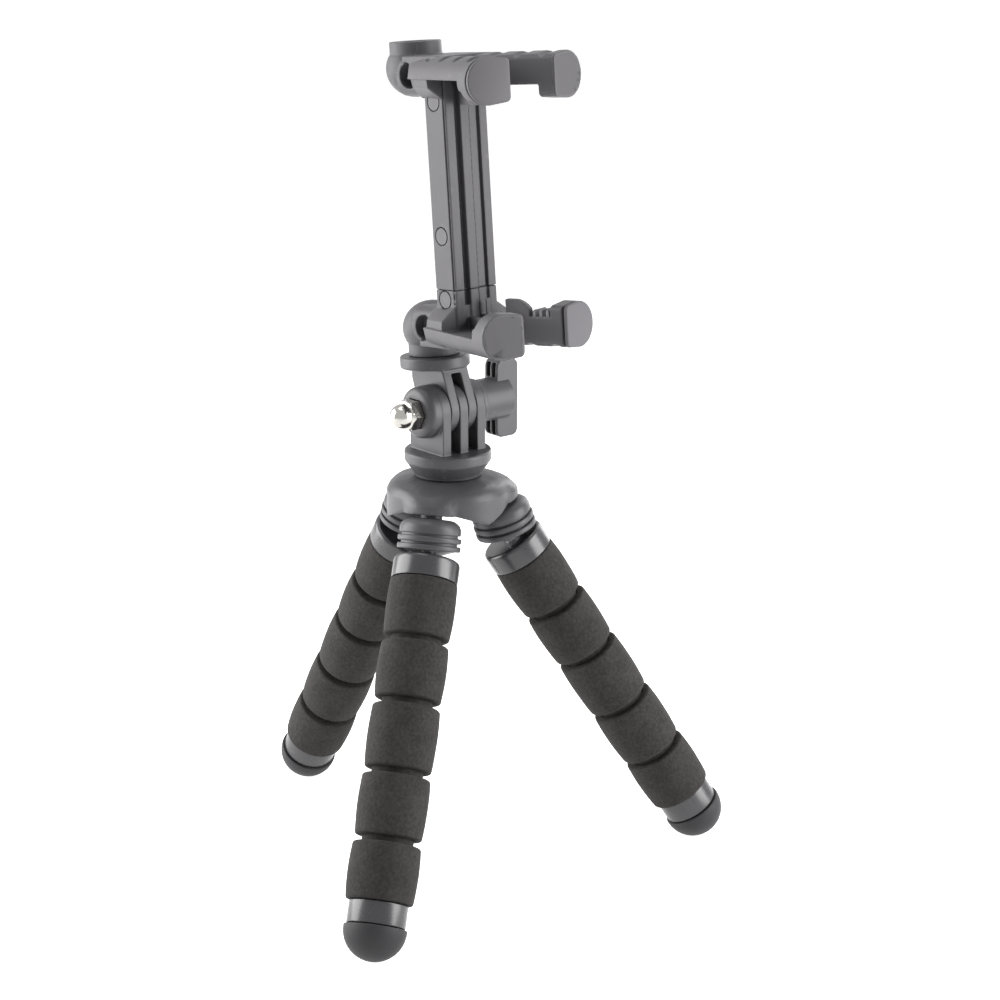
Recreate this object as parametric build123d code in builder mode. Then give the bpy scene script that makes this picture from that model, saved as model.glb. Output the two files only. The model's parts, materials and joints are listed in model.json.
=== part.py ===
from build123d import *
from math import acos, cos, radians, sin, sqrt, tan
import os

os.makedirs("parts", exist_ok=True)

# A small phone tripod: three bendable foam legs under a hub, a pronged tilt joint with a
# thumb knob, and a spring clamp for a phone. Millimetres, +Z up, the floor at Z = 0 and the
# hub's vertical axis through the origin. The clamp faces -Y and the tilt bolt lies along X.

# Clearances
slide_gap = 0.15
fit_gap = 0.05
free_gap = 0.4

# How far a cut runs past the face that it opens, and the middle of a quarter turn
cut_over = 1.0
arc_middle = radians(45)

# Legs
section_lengths = (17.3, 17.9, 19.7, 18.8, 16.7)
foam_radius = 9.85
groove_half_angle = 6.5
foam_edge_round = 0.7
ball_radius = 7.2
socket_gap = 0.3
ball_mouth = 0.66
core_radius = 2.2
core_ball_radius = 2.5
core_end_gap = 0.4
top_ferrule_radius = 9.5
top_ferrule_start = 1.6
top_ferrule_length = 6.5
ferrule_round = 1.5
tip_ferrule_radius = 8.2
tip_ferrule_length = 6.7
foot_radius = 8.8
foot_lip = 0.65
foot_spigot_radius = 5.0
foot_spigot_length = 5.5
leg_splay = 32.5
leg_turns = (-144.2, -32.4, 87.2)

# Knuckles that carry the legs
socket_turns = (-148.3, -28.3, 91.7)
knuckle_tilt = 18.0
neck_circle_radius = 17.7
rings_top = 5.2
ring_radius = 9.05
ring_height = 1.6
ring_groove_radius = 8.0
ring_groove = 0.7
neck_radius = 3.9
cap_radius = 8.75
cap_straight = 1.6
cap_top = 10.2
cap_top_radius = 5.4
cap_bulge_out = 0.62
cap_bulge_up = 0.72
knuckle_stem_radius = 3.0
knuckle_stem_top = 16.2

# Hub
neck_below_hub = 19.3
hub_height = 12.0
hub_radius = 17.7
lobe_radius = 20.4
lobe_round = 9.0
hub_top_radius = 10.0
hub_shoulder = 4.7
dome_bulge_radius = 16.0
dome_bulge_drop = 1.5
skirt_wall = 1.8
arch_rise = 5.0
plate_depth = 5.4
plate_thickness = 2.0
hub_screw_circle = 12.2
hub_screw_radius = 1.1
hub_screw_head_radius = 2.2
hub_screw_head = 1.4
hub_screw_length = 5.0
pan_screw_radius = 2.4
pan_screw_head_radius = 4.2
pan_screw_head = 2.6
pan_screw_seat = 3.0
pan_screw_reach = 6.0
pan_screw_key = 2.0

# Pronged joint
prong_thickness = 3.0
prong_pitch = 6.3
prong_radius = 7.5
slot_round_gap = 0.6
bolt_radius = 2.5
bolt_chamfer = 0.4
base_foot_radius = 9.8
base_foot_height = 0.6
flange_radius = 12.5
flange_cone_height = 3.8
flange_rim = 3.0
flange_round = 0.7
bolt_above_flange = 12.0
nut_boss_length = 4.2
nut_boss_radius = 7.4
nut_boss_round = 2.2
nut_flats = 8.0
nut_hex_length = 5.4
nut_pocket = 1.8
nut_dome_radius = 3.5
nut_dome_length = 4.6
nut_bore_depth = 6.0
bolt_in_nut = 5.0

# Thumb knob
knob_gap = 0.3
knob_barrel_radius = 6.2
knob_barrel_length = 12.4
knob_hub_radius = 6.9
knob_hub_length = 1.6
wing_start = 8.1
wing_width = 7.8
wing_thickness = 5.6
wing_reach = 11.4
wing_round = 2.0
wing_pocket_depth = 4.5
wing_pocket_width = 1.5
wing_pocket_gap = 0.8
wing_pocket_length = 4.2
bolt_in_knob = 8.0

# Tilting head on the prongs
clamp_tilt = 5.0
neck_front = -4.2
neck_back = 9.8
neck_start = 8.4
neck_angle = 20.0
disc_start = 11.5
disc_thickness = 3.5
disc_radius = 10.0
disc_round = 0.6
screw_offset = 4.5
slot_top = 10.2
screw_head_radius = 4.3
screw_head = 2.4
screw_head_rise = 1.0
screw_reach = 6.0

# Phone clamp: the two jaws are the same moulding, one turned over. Jaw heights start at the
# outer face of the boss and grow towards the phone.
jaw_gap = 0.1
clamp_height = 103.0
boss_radius = 7.3
boss_height = 5.0
lobe_radius_low = 7.6
lobe_radius_wide = 8.6
lobe_widest = 8.0
lobe_turn_radius = 7.0
lobe_turn = 12.2
lobe_crown_radius = 4.2
lobe_crown = 14.5
lobe_top = 15.4
insert_radius = 4.6
insert_length = 7.0
insert_recess = 0.3
thread_radius = 3.175
arm_splay = 13.3
arm_reach = 45.0
arm_length = 40.0
arm_inner = -2.7
arm_width = 12.6
arm_under = 3.8
arm_taper = 0.7
arm_corner = 1.4
hook_top = 16.5
hook_length = 5.6
notch_floor = 12.5
hump_foot = 12.6
hump_foot_top = 14.6
hump_crown = 17.4
hump_top = 17.2
hump_bend = (14.5, 16.3)
hump_wall = 2.0
groove_count = 4
groove_pitch = 8.3
groove_first = 4.6
groove_radius = 1.8
groove_depth = 1.4
rim_height = 9.8
rim_wall = 1.0
ledge_floor = 9.0
ledge_start = 6.6
seat_end = 13.0
seat_width = 6.7
pad_width = 5.6
pad_length = 6.6
pad_base = 0.8
fin_count = 3
fin_pitch = 2.2
fin_thickness = 0.9
fin_height = 2.0
floor_half_width = 9.2
floor_front = -17.6
floor_top = 8.0
floor_round = 1.5
core_half_width = 8.4
core_back = 3.0
core_top = 14.8
core_round = 3.6
shoulder_front = -15.5
shoulder_back = -6.0
shoulder_front_outline = ((12.9, 8.0), (12.6, 12.2), (7.3, 15.8))
shoulder_back_outline = ((10.9, 8.0), (10.4, 11.8), (7.3, 15.2))
side_pocket_radius = 3.6
side_pocket_y = -1.9
side_pocket_height = 9.0
side_pocket_start = 5.2

# Spine of the clamp: a sleeve on the upper jaw slides over a rail on the lower jaw
spine_half_width = 7.5
spine_front = -16.0
spine_back = -7.2
spine_round = 0.6
seam_height = 20.2
seam_gap = 0.15
sleeve_floor = 5.5
sleeve_front_wall = 2.6
sleeve_side_wall = 2.4
sleeve_back_wall = 1.5
sleeve_cap = 1.2
deep_groove_x = -3.2
deep_groove_width = 2.1
deep_groove_depth = 1.8
wide_groove_x = 2.7
wide_groove_width = 3.4
wide_groove_depth = 0.7
rail_wall = 0.8
rail_below_seam = 13.0
rail_end_wall = 2.45
spring_radius = 1.2
spring_wire = 0.5
spring_half_pitch = 1.8
pin_radius = 1.1
pin_head_radius = 2.3
pin_head = 0.7
rail_pin_below_seam = 2.8
stop_pin_above_seam = 14.8
spring_pin_drop = 16.2
stop_pin_reach = 3.45

# Places that follow from the sizes above
leg_starts = [top_ferrule_start + top_ferrule_length]
for length in section_lengths:
    leg_starts.append(leg_starts[-1] + length)
foam_end = leg_starts[-1]
ferrule_end = foam_end + tip_ferrule_length
foot_centre = ferrule_end + foot_lip
neck_height = foot_radius + foot_centre * cos(radians(leg_splay))
hub_top = neck_height + neck_below_hub
hub_bottom = hub_top - hub_height
plate_top = hub_top - plate_depth
base_bottom = hub_top + slide_gap
flange_bottom = base_bottom + base_foot_height + flange_cone_height
flange_top = flange_bottom + flange_rim
bolt_height = flange_top + bolt_above_flange
gap_width = prong_pitch - prong_thickness
stack_half_width = prong_pitch + prong_thickness / 2
head_half_width = prong_pitch - prong_thickness / 2 - slide_gap
head_slot_half_width = prong_thickness / 2 + slide_gap
disc_top = disc_start + disc_thickness
lower_jaw_start = disc_top + jaw_gap
seam = lower_jaw_start + seam_height
sleeve_end = clamp_height - sleeve_floor
rail_pin_height = seam - rail_pin_below_seam
stop_pin_height = seam + stop_pin_above_seam
spring_pin_height = clamp_height - spring_pin_drop
rail_top = spring_pin_height - pin_radius - free_gap
travel = rail_top - rail_end_wall - pin_radius - slide_gap - stop_pin_height


def radial(distance, turn, height):
    """Point at a distance from the vertical axis, on a bearing, at a height."""
    return Vector(distance * cos(radians(turn)), distance * sin(radians(turn)), height)


# A neck is where a leg bends against its knuckle
necks = [radial(neck_circle_radius, turn, neck_height) for turn in socket_turns]
knuckle_ups = [
    Vector(-sin(radians(knuckle_tilt)) * cos(radians(turn)),
           -sin(radians(knuckle_tilt)) * sin(radians(turn)),
           cos(radians(knuckle_tilt)))
    for turn in socket_turns
]
leg_ups = [
    Vector(-sin(radians(leg_splay)) * cos(radians(turn)),
           -sin(radians(leg_splay)) * sin(radians(turn)),
           cos(radians(leg_splay)))
    for turn in leg_turns
]


def upright_plane(origin, up):
    """Plane whose X runs out from an axis and whose Y runs along it, for turned profiles."""
    out = up.cross(Vector(0, 0, 1)).normalized()
    return Plane(origin=origin, x_dir=out, z_dir=out.cross(up))


def placed(location, plane):
    """A plane carried from the origin to a place."""
    return Plane(location * plane.location)


clamp = Plane(origin=(0, 0, bolt_height), x_dir=(1, 0, 0),
              z_dir=(0, sin(radians(clamp_tilt)), cos(radians(clamp_tilt)))).location
screw_plane = placed(clamp, Plane(origin=(0, screw_offset, 0), x_dir=(1, 0, 0), z_dir=(0, 0, 1)))
lower_jaw_place = clamp * Location((0, 0, lower_jaw_start))
upper_jaw_place = clamp * Location((0, 0, clamp_height), (0, 180, 0))


def write(part, name):
    """Labels a finished piece and writes its STEP file."""
    part.label = name
    export_step(part, f"parts/{name}.step")


# Foam sections: each ends below in a ball that turns in the next section's socket, and the
# V between two sections opens from the ball's centre
def foam_section(place, axis, top, bottom, has_socket, has_ball):
    bore = core_radius + slide_gap
    cup = ball_radius + socket_gap
    mouth = core_ball_radius + core_end_gap
    half = radians(groove_half_angle)
    groove = foam_radius * tan(half) if has_socket else 0
    lower_groove = foam_radius * tan(half) if has_ball else 0
    outer_top = (foam_radius, -(top + groove))
    outer_bottom = (foam_radius, -(bottom - lower_groove))
    with BuildPart() as section:
        with BuildSketch(place):
            with BuildLine():
                if has_socket:
                    inner_top = (bore, -(top + sqrt(cup ** 2 - bore ** 2)))
                    middle = (cup * cos(arc_middle), -(top + cup * sin(arc_middle)))
                    lip = (cup * cos(half), -(top + cup * sin(half)))
                    ThreePointArc(inner_top, middle, lip)
                    Line(lip, outer_top)
                else:
                    inner_top = (bore, -top)
                    Line(inner_top, outer_top)
                Line(outer_top, outer_bottom)
                if has_ball:
                    flare = ball_radius * ball_mouth
                    flare_end = (flare, -(bottom + sqrt(ball_radius ** 2 - flare ** 2)))
                    shoulder = (ball_radius * cos(half), -(bottom - ball_radius * sin(half)))
                    inner_bottom = (bore, -(bottom - sqrt(mouth ** 2 - bore ** 2)))
                    over = acos(bore / mouth) / 2
                    Line(outer_bottom, shoulder)
                    ball_middle = (ball_radius * cos(half), -(bottom + ball_radius * sin(half)))
                    ThreePointArc(shoulder, ball_middle, flare_end)
                    Line(flare_end, (mouth, -bottom))
                    ThreePointArc((mouth, -bottom), (mouth * cos(over), -(bottom - mouth * sin(over))),
                                  inner_bottom)
                    Line(inner_bottom, inner_top)
                else:
                    Polyline(outer_bottom, (bore, -bottom), inner_top)
            outline = make_face()
            rims = [outline.vertices().sort_by_distance(rim)[0] for rim in (outer_top, outer_bottom)]
            fillet(rims, foam_edge_round)
        revolve(axis=axis)
    return section.part


# Core wire: it bends anywhere in the real leg, and is cut here at each bend with a ball on top
def core_wire(place, axis, top, bottom):
    shoulder = top + sqrt(core_ball_radius ** 2 - core_radius ** 2)
    with BuildPart() as wire:
        with BuildSketch(place):
            with BuildLine():
                ThreePointArc((0, -(top - core_ball_radius)), (core_ball_radius, -top),
                              (core_radius, -shoulder))
                Polyline((core_radius, -shoulder), (core_radius, -bottom),
                         (0, -bottom), (0, -(top - core_ball_radius)))
            make_face()
        revolve(axis=axis)
    return wire.part


for number, (neck, up) in enumerate(zip(necks, leg_ups), start=1):
    place = upright_plane(neck, up)
    axis = Axis(neck, up)
    bends = leg_starts[1:-1]

    for index, (top, bottom) in enumerate(zip(leg_starts[:-1], leg_starts[1:])):
        foam = foam_section(place, axis, top, bottom, index > 0, bottom < foam_end)
        write(foam, f"leg_{number}_foam_{index + 1}")

    wire_tops = [0.0] + bends[:-1]
    for index, (top, bottom) in enumerate(zip(wire_tops, bends)):
        wire = core_wire(place, axis, top, bottom - core_ball_radius - core_end_gap)
        write(wire, f"leg_{number}_core_{index + 1}")

    # Ferrule that closes the top of the foam
    with BuildPart() as top_ferrule:
        with BuildSketch(place):
            with BuildLine():
                Polyline((core_radius + fit_gap, -top_ferrule_start),
                         (top_ferrule_radius, -top_ferrule_start),
                         (top_ferrule_radius, -leg_starts[0]),
                         (core_radius + fit_gap, -leg_starts[0]),
                         close=True)
            outline = make_face()
            shoulder = (top_ferrule_radius, -top_ferrule_start)
            fillet(outline.vertices().sort_by_distance(shoulder)[0], ferrule_round)
        revolve(axis=axis)
    write(top_ferrule.part, f"leg_{number}_top_ferrule")

    # Tip ferrule: its stem is the end of the core wire, its spigot holds the foot
    stem_top = bends[-1]
    stem_shoulder = stem_top + sqrt(core_ball_radius ** 2 - core_radius ** 2)
    with BuildPart() as tip_ferrule:
        with BuildSketch(place):
            with BuildLine():
                ThreePointArc((0, -(stem_top - core_ball_radius)), (core_ball_radius, -stem_top),
                              (core_radius, -stem_shoulder))
                Polyline((core_radius, -stem_shoulder), (core_radius, -foam_end),
                         (tip_ferrule_radius, -foam_end), (tip_ferrule_radius, -ferrule_end),
                         (foot_spigot_radius, -ferrule_end),
                         (foot_spigot_radius, -(ferrule_end + foot_spigot_length)),
                         (0, -(ferrule_end + foot_spigot_length)),
                         (0, -(stem_top - core_ball_radius)))
            make_face()
        revolve(axis=axis)
    write(tip_ferrule.part, f"leg_{number}_tip_ferrule")

    # Rubber foot with a domed end
    spigot_hole = foot_spigot_radius + fit_gap
    hole_end = ferrule_end + foot_spigot_length + fit_gap
    slant = foot_radius * cos(arc_middle)
    with BuildPart() as foot:
        with BuildSketch(place):
            with BuildLine():
                Polyline((spigot_hole, -ferrule_end), (foot_radius, -ferrule_end),
                         (foot_radius, -foot_centre))
                ThreePointArc((foot_radius, -foot_centre), (slant, -(foot_centre + slant)),
                              (0, -(foot_centre + foot_radius)))
                Polyline((0, -(foot_centre + foot_radius)), (0, -hole_end),
                         (spigot_hole, -hole_end), (spigot_hole, -ferrule_end))
            make_face()
        revolve(axis=axis)
    write(foot.part, f"leg_{number}_foot")

# Knuckles: a stem pressed into the hub, a smooth cap and two rings above the bend of the leg
ring_tops = [rings_top - index * (ring_height + ring_groove) for index in range(2)]
for number, (neck, up) in enumerate(zip(necks, knuckle_ups), start=1):
    place = upright_plane(neck, up)
    cup = core_ball_radius + core_end_gap
    cap_start = rings_top + ring_groove
    cap_shoulder = cap_start + cap_straight
    bulge = (cap_top_radius + cap_bulge_out * (cap_radius - cap_top_radius),
             cap_shoulder + cap_bulge_up * (cap_top - cap_shoulder))
    with BuildPart() as knuckle:
        with BuildSketch(place):
            with BuildLine():
                Polyline((0, cup), (0, knuckle_stem_top), (knuckle_stem_radius, knuckle_stem_top),
                         (knuckle_stem_radius, cap_top), (cap_top_radius, cap_top))
                ThreePointArc((cap_top_radius, cap_top), bulge, (cap_radius, cap_shoulder))
                side = [(cap_radius, cap_shoulder), (cap_radius, cap_start), (ring_groove_radius, cap_start)]
                for ring_top in ring_tops:
                    side += [(ring_groove_radius, ring_top), (ring_radius, ring_top),
                             (ring_radius, ring_top - ring_height),
                             (ring_groove_radius, ring_top - ring_height)]
                Polyline(*side[:-1], (neck_radius, 0), (cup, 0))
                ThreePointArc((cup, 0), (cup * cos(arc_middle), cup * sin(arc_middle)), (0, cup))
            make_face()
        revolve(axis=Axis(neck, up))
    write(knuckle.part, f"leg_{number}_knuckle")

# Hub cover: a domed cap with a lobe over each leg, arched away from the knuckles
shoulder_height = hub_top - hub_shoulder
dome_reach = lobe_radius + cut_over
dome_middle = (dome_bulge_radius, hub_top - dome_bulge_drop)
half_chord = hub_radius * sin(radians(60))
arch_radius = (half_chord ** 2 + arch_rise ** 2) / (2 * arch_rise)
screw_turns = [turn + 60 for turn in socket_turns]
with BuildPart() as hub_cover:
    with BuildSketch(Plane.XY.offset(hub_bottom)):
        Circle(hub_radius)
        for turn in socket_turns:
            with Locations(radial(lobe_radius - lobe_round, turn, 0)):
                Circle(lobe_round)
    extrude(amount=hub_height)
    with BuildSketch(Plane.XZ):
        with BuildLine():
            Polyline((0, hub_bottom), (dome_reach, hub_bottom), (dome_reach, shoulder_height))
            ThreePointArc((dome_reach, shoulder_height), dome_middle, (hub_top_radius, hub_top))
            Polyline((hub_top_radius, hub_top), (0, hub_top), (0, hub_bottom))
        make_face()
    revolve(axis=Axis.Z, mode=Mode.INTERSECT)
    with BuildSketch(Plane.XY.offset(hub_bottom)):
        Circle(hub_radius - skirt_wall)
    extrude(amount=plate_top - hub_bottom, mode=Mode.SUBTRACT)
    for turn in socket_turns:
        across = Plane(origin=(0, 0, hub_bottom + arch_rise - arch_radius),
                       x_dir=radial(1, turn + 90, 0), z_dir=radial(1, turn, 0))
        with BuildSketch(across):
            Circle(arch_radius)
        extrude(amount=2 * lobe_radius, mode=Mode.SUBTRACT)
    for neck, up in zip(necks, knuckle_ups):
        with BuildSketch(Plane(origin=neck, z_dir=up)):
            Circle(knuckle_stem_radius + fit_gap)
        extrude(amount=knuckle_stem_top + fit_gap, mode=Mode.SUBTRACT)
    with BuildSketch(Plane.XY.offset(hub_bottom)):
        Circle(pan_screw_radius + fit_gap)
    extrude(amount=hub_height, mode=Mode.SUBTRACT)
    with BuildSketch(Plane.XY.offset(hub_bottom)):
        Circle(pan_screw_head_radius + free_gap)
    extrude(amount=hub_height - pan_screw_seat, mode=Mode.SUBTRACT)
    with BuildSketch(Plane.XY.offset(plate_top)):
        for turn in screw_turns:
            with Locations(radial(hub_screw_circle, turn, 0)):
                Circle(hub_screw_radius + fit_gap)
    extrude(amount=hub_screw_length - plate_thickness + slide_gap, mode=Mode.SUBTRACT)
write(hub_cover.part, "hub_cover")

# Hub plate: closes the hub from below and steadies the knuckles' stems
plate_bottom = plate_top - plate_thickness
with BuildPart() as hub_plate:
    with BuildSketch(Plane.XY.offset(plate_bottom)):
        Circle(hub_radius - skirt_wall - slide_gap)
        Circle(pan_screw_head_radius + free_gap, mode=Mode.SUBTRACT)
        for turn in screw_turns:
            with Locations(radial(hub_screw_circle, turn, 0)):
                Circle(hub_screw_radius + fit_gap, mode=Mode.SUBTRACT)
    extrude(amount=plate_thickness - fit_gap)
    for neck, up in zip(necks, knuckle_ups):
        with BuildSketch(Plane(origin=neck, z_dir=up)):
            Circle(knuckle_stem_radius + fit_gap)
        extrude(amount=knuckle_stem_top + fit_gap, mode=Mode.SUBTRACT)
write(hub_plate.part, "hub_plate")

with BuildPart() as hub_screws:
    for turn in screw_turns:
        with BuildSketch(Plane.XY.offset(plate_bottom - hub_screw_head)):
            with Locations(radial(hub_screw_circle, turn, 0)):
                Circle(hub_screw_head_radius)
        extrude(amount=hub_screw_head)
        with BuildSketch(Plane.XY.offset(plate_bottom)):
            with Locations(radial(hub_screw_circle, turn, 0)):
                Circle(hub_screw_radius)
        extrude(amount=hub_screw_length)
write(hub_screws.part, "hub_screws")

# Screw on which the pronged base turns; its head is drawn up inside the hub
pan_seat = hub_top - pan_screw_seat - slide_gap
with BuildPart() as pan_screw:
    with BuildSketch(Plane.XY.offset(pan_seat - pan_screw_head)):
        Circle(pan_screw_head_radius)
    extrude(amount=pan_screw_head)
    with BuildSketch(Plane.XY.offset(pan_seat)):
        Circle(pan_screw_radius)
    extrude(amount=base_bottom + pan_screw_reach - pan_seat)
    with BuildSketch(Plane.XY.offset(pan_seat - pan_screw_head)):
        RegularPolygon(pan_screw_key, 6)
    extrude(amount=pan_screw_head / 2, mode=Mode.SUBTRACT)
write(pan_screw.part, "pan_screw")

# Pronged base: conical foot, flange, three prongs and the boss that holds the nut
base_middle = bolt_height - flange_top
with BuildPart() as prong_base:
    with BuildSketch(Plane.XZ):
        with BuildLine():
            Polyline((0, base_bottom), (base_foot_radius, base_bottom),
                     (base_foot_radius, base_bottom + base_foot_height),
                     (flange_radius, flange_bottom), (flange_radius, flange_top),
                     (0, flange_top), close=True)
        make_face()
    revolve(axis=Axis.Z)
    rims = prong_base.edges().filter_by(GeomType.CIRCLE).filter_by(
        lambda edge: abs(edge.radius - flange_radius) < fit_gap)
    fillet(rims, flange_round)
    with BuildSketch(Plane.YZ.offset(-stack_half_width)):
        with Locations((0, bolt_height - (base_middle + cut_over) / 2)):
            Rectangle(2 * prong_radius, base_middle + cut_over)
        with Locations((0, bolt_height)):
            Circle(prong_radius)
    extrude(amount=2 * stack_half_width)
    with BuildSketch(Plane.XZ.offset(-prong_radius - cut_over)):
        for side in (-1, 1):
            with Locations((side * prong_pitch / 2, flange_top + base_middle)):
                Rectangle(gap_width, 2 * base_middle)
    extrude(amount=2 * (prong_radius + cut_over), mode=Mode.SUBTRACT)
    with BuildSketch(Plane.YZ.offset(-stack_half_width - nut_boss_length)):
        with Locations((0, bolt_height)):
            Circle(nut_boss_radius)
    extrude(amount=nut_boss_length)
    boss_rims = prong_base.edges().filter_by(GeomType.CIRCLE).filter_by(
        lambda edge: abs(edge.radius - nut_boss_radius) < fit_gap)
    fillet(boss_rims.sort_by(Axis.X)[0], nut_boss_round)
    with BuildSketch(Plane.YZ.offset(-stack_half_width - nut_boss_length)):
        with Locations((0, bolt_height)):
            RegularPolygon(nut_flats / 2 + fit_gap, 6, major_radius=False)
    extrude(amount=nut_pocket, mode=Mode.SUBTRACT)
    with BuildSketch(Plane.YZ.offset(-stack_half_width - nut_boss_length)):
        with Locations((0, bolt_height)):
            Circle(bolt_radius + fit_gap)
    extrude(amount=2 * stack_half_width + nut_boss_length, mode=Mode.SUBTRACT)
    with BuildSketch(Plane.XY.offset(base_bottom)):
        Circle(pan_screw_radius + fit_gap)
    extrude(amount=pan_screw_reach, mode=Mode.SUBTRACT)
write(prong_base.part, "prong_base")

# Domed nut in the boss's pocket
nut_face = -stack_half_width - nut_boss_length + nut_pocket
nut_end = nut_face - nut_hex_length
dome_start = nut_end - nut_dome_length + nut_dome_radius
bolt_line = Axis((0, 0, bolt_height), (1, 0, 0))
with BuildPart() as dome_nut:
    with BuildSketch(Plane.YZ.offset(nut_end)):
        with Locations((0, bolt_height)):
            RegularPolygon(nut_flats / 2, 6, major_radius=False)
    extrude(amount=nut_hex_length)
    with BuildSketch(Plane.XZ):
        with BuildLine():
            slant = nut_dome_radius * cos(arc_middle)
            Polyline((nut_end, bolt_height), (nut_end, bolt_height + nut_dome_radius),
                     (dome_start, bolt_height + nut_dome_radius))
            ThreePointArc((dome_start, bolt_height + nut_dome_radius),
                          (dome_start - slant, bolt_height + slant),
                          (dome_start - nut_dome_radius, bolt_height))
            Line((dome_start - nut_dome_radius, bolt_height), (nut_end, bolt_height))
        make_face()
    revolve(axis=bolt_line)
    with BuildSketch(Plane.YZ.offset(nut_face - nut_bore_depth)):
        with Locations((0, bolt_height)):
            Circle(bolt_radius + fit_gap)
    extrude(amount=nut_bore_depth, mode=Mode.SUBTRACT)
write(dome_nut.part, "dome_nut")

# Thumb knob: a barrel on the far side of the prongs with two hollow-sided wings
knob_start = stack_half_width + knob_gap
with BuildPart() as thumb_knob:
    with BuildSketch(Plane.YZ.offset(knob_start)):
        with Locations((0, bolt_height)):
            Circle(knob_barrel_radius)
    extrude(amount=knob_barrel_length)
    with BuildSketch(Plane.YZ.offset(knob_start)):
        with Locations((0, bolt_height)):
            Circle(knob_hub_radius)
    extrude(amount=knob_hub_length)
    with BuildSketch(Plane.XZ.offset(-wing_thickness / 2)):
        with Locations((knob_start + wing_start + wing_width / 2, bolt_height)):
            RectangleRounded(wing_width, 2 * wing_reach, wing_round)
    extrude(amount=wing_thickness)
    with BuildSketch(Plane.YZ.offset(knob_start + wing_start)):
        for side in (-1, 1):
            for across in (-1, 1):
                pocket_y = across * (wing_pocket_width + wing_pocket_gap) / 2
                pocket_z = side * (wing_reach - wing_pocket_gap - wing_pocket_length / 2)
                with Locations((pocket_y, bolt_height + pocket_z)):
                    Rectangle(wing_pocket_width, wing_pocket_length)
    extrude(amount=wing_pocket_depth, mode=Mode.SUBTRACT)
    with BuildSketch(Plane.YZ.offset(knob_start)):
        with Locations((0, bolt_height)):
            Circle(bolt_radius + fit_gap)
    extrude(amount=bolt_in_knob, mode=Mode.SUBTRACT)
write(thumb_knob.part, "thumb_knob")

# Tilt bolt, fast in the knob and screwed into the nut
bolt_end = nut_face - bolt_in_nut
with BuildPart() as tilt_bolt:
    with BuildSketch(Plane.YZ.offset(bolt_end)):
        with Locations((0, bolt_height)):
            Circle(bolt_radius)
    extrude(amount=knob_start + bolt_in_knob - fit_gap - bolt_end)
    chamfer(tilt_bolt.edges().filter_by(GeomType.CIRCLE), bolt_chamfer)
write(tilt_bolt.part, "tilt_bolt")

# Tilting head: two prongs, a neck set back from the bolt and the disc that the clamp sits on
screw_seat = disc_start + screw_head_rise

with BuildPart() as tilt_head:
    with BuildSketch(placed(clamp, Plane.YZ.offset(-head_half_width))):
        Circle(prong_radius)
        with BuildLine():
            Polyline((-prong_radius * cos(radians(neck_angle)), prong_radius * sin(radians(neck_angle))),
                     (neck_front, disc_start), (neck_back, disc_start), (neck_back, neck_start),
                     (prong_radius, 0), (0, 0), close=True)
        make_face()
    extrude(amount=2 * head_half_width)
    with BuildSketch(placed(clamp, Plane.YZ.offset(-head_slot_half_width))):
        with Locations((0, slot_round_gap / 2)):
            Rectangle(4 * prong_radius, 2 * prong_radius + slot_round_gap)
        with Locations((-prong_radius, slot_top / 2)):
            Rectangle(2 * prong_radius, slot_top)
    extrude(amount=2 * head_slot_half_width, mode=Mode.SUBTRACT)
    with BuildSketch(screw_plane.offset(disc_start)):
        Circle(disc_radius)
    extrude(amount=disc_thickness)
    disc_rims = tilt_head.edges().filter_by(GeomType.CIRCLE).filter_by(
        lambda edge: abs(edge.radius - disc_radius) < fit_gap)
    fillet(disc_rims, disc_round)
    with BuildSketch(placed(clamp, Plane.YZ.offset(-head_half_width))):
        Circle(bolt_radius + fit_gap)
    extrude(amount=2 * head_half_width, mode=Mode.SUBTRACT)
    with BuildSketch(screw_plane.offset(screw_seat - screw_head)):
        Circle(screw_head_radius + fit_gap)
    extrude(amount=screw_head, mode=Mode.SUBTRACT)
    with BuildSketch(screw_plane.offset(screw_seat)):
        Circle(thread_radius + fit_gap)
    extrude(amount=disc_thickness, mode=Mode.SUBTRACT)
write(tilt_head.part, "tilt_head")

# Screw that stands out of the disc and holds the clamp
with BuildPart() as clamp_screw:
    with BuildSketch(screw_plane.offset(screw_seat - screw_head)):
        Circle(screw_head_radius)
    extrude(amount=screw_head)
    with BuildSketch(screw_plane.offset(screw_seat)):
        Circle(thread_radius)
    extrude(amount=disc_top + screw_reach - screw_seat)
    chamfer(clamp_screw.faces().sort_by(Axis.Z)[-1].edges(), bolt_chamfer)
write(clamp_screw.part, "clamp_screw")


# Section of the clamp's spine: a deep groove and a shallow one run down its front
spine_middle = (spine_front + spine_back) / 2
with BuildSketch() as spine_outline:
    with Locations((0, spine_middle)):
        RectangleRounded(2 * spine_half_width, spine_back - spine_front, spine_round)
    with Locations((deep_groove_x, spine_front)):
        Rectangle(deep_groove_width, 2 * deep_groove_depth, mode=Mode.SUBTRACT)
    with Locations((wide_groove_x, spine_front)):
        Rectangle(wide_groove_width, 2 * wide_groove_depth, mode=Mode.SUBTRACT)

# Hollow of the sleeve, in which the rail slides, with the springs inside the rail
hollow_width = 2 * (spine_half_width - sleeve_side_wall)
hollow_front = spine_front + sleeve_front_wall
hollow_back = spine_back - sleeve_back_wall
hollow_depth = hollow_back - hollow_front
hollow_y = (hollow_front + hollow_back) / 2
rail_front = hollow_front + slide_gap
spring_y = rail_front + rail_wall + spring_radius + fit_gap
rail_bottom = seam - rail_below_seam


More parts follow.
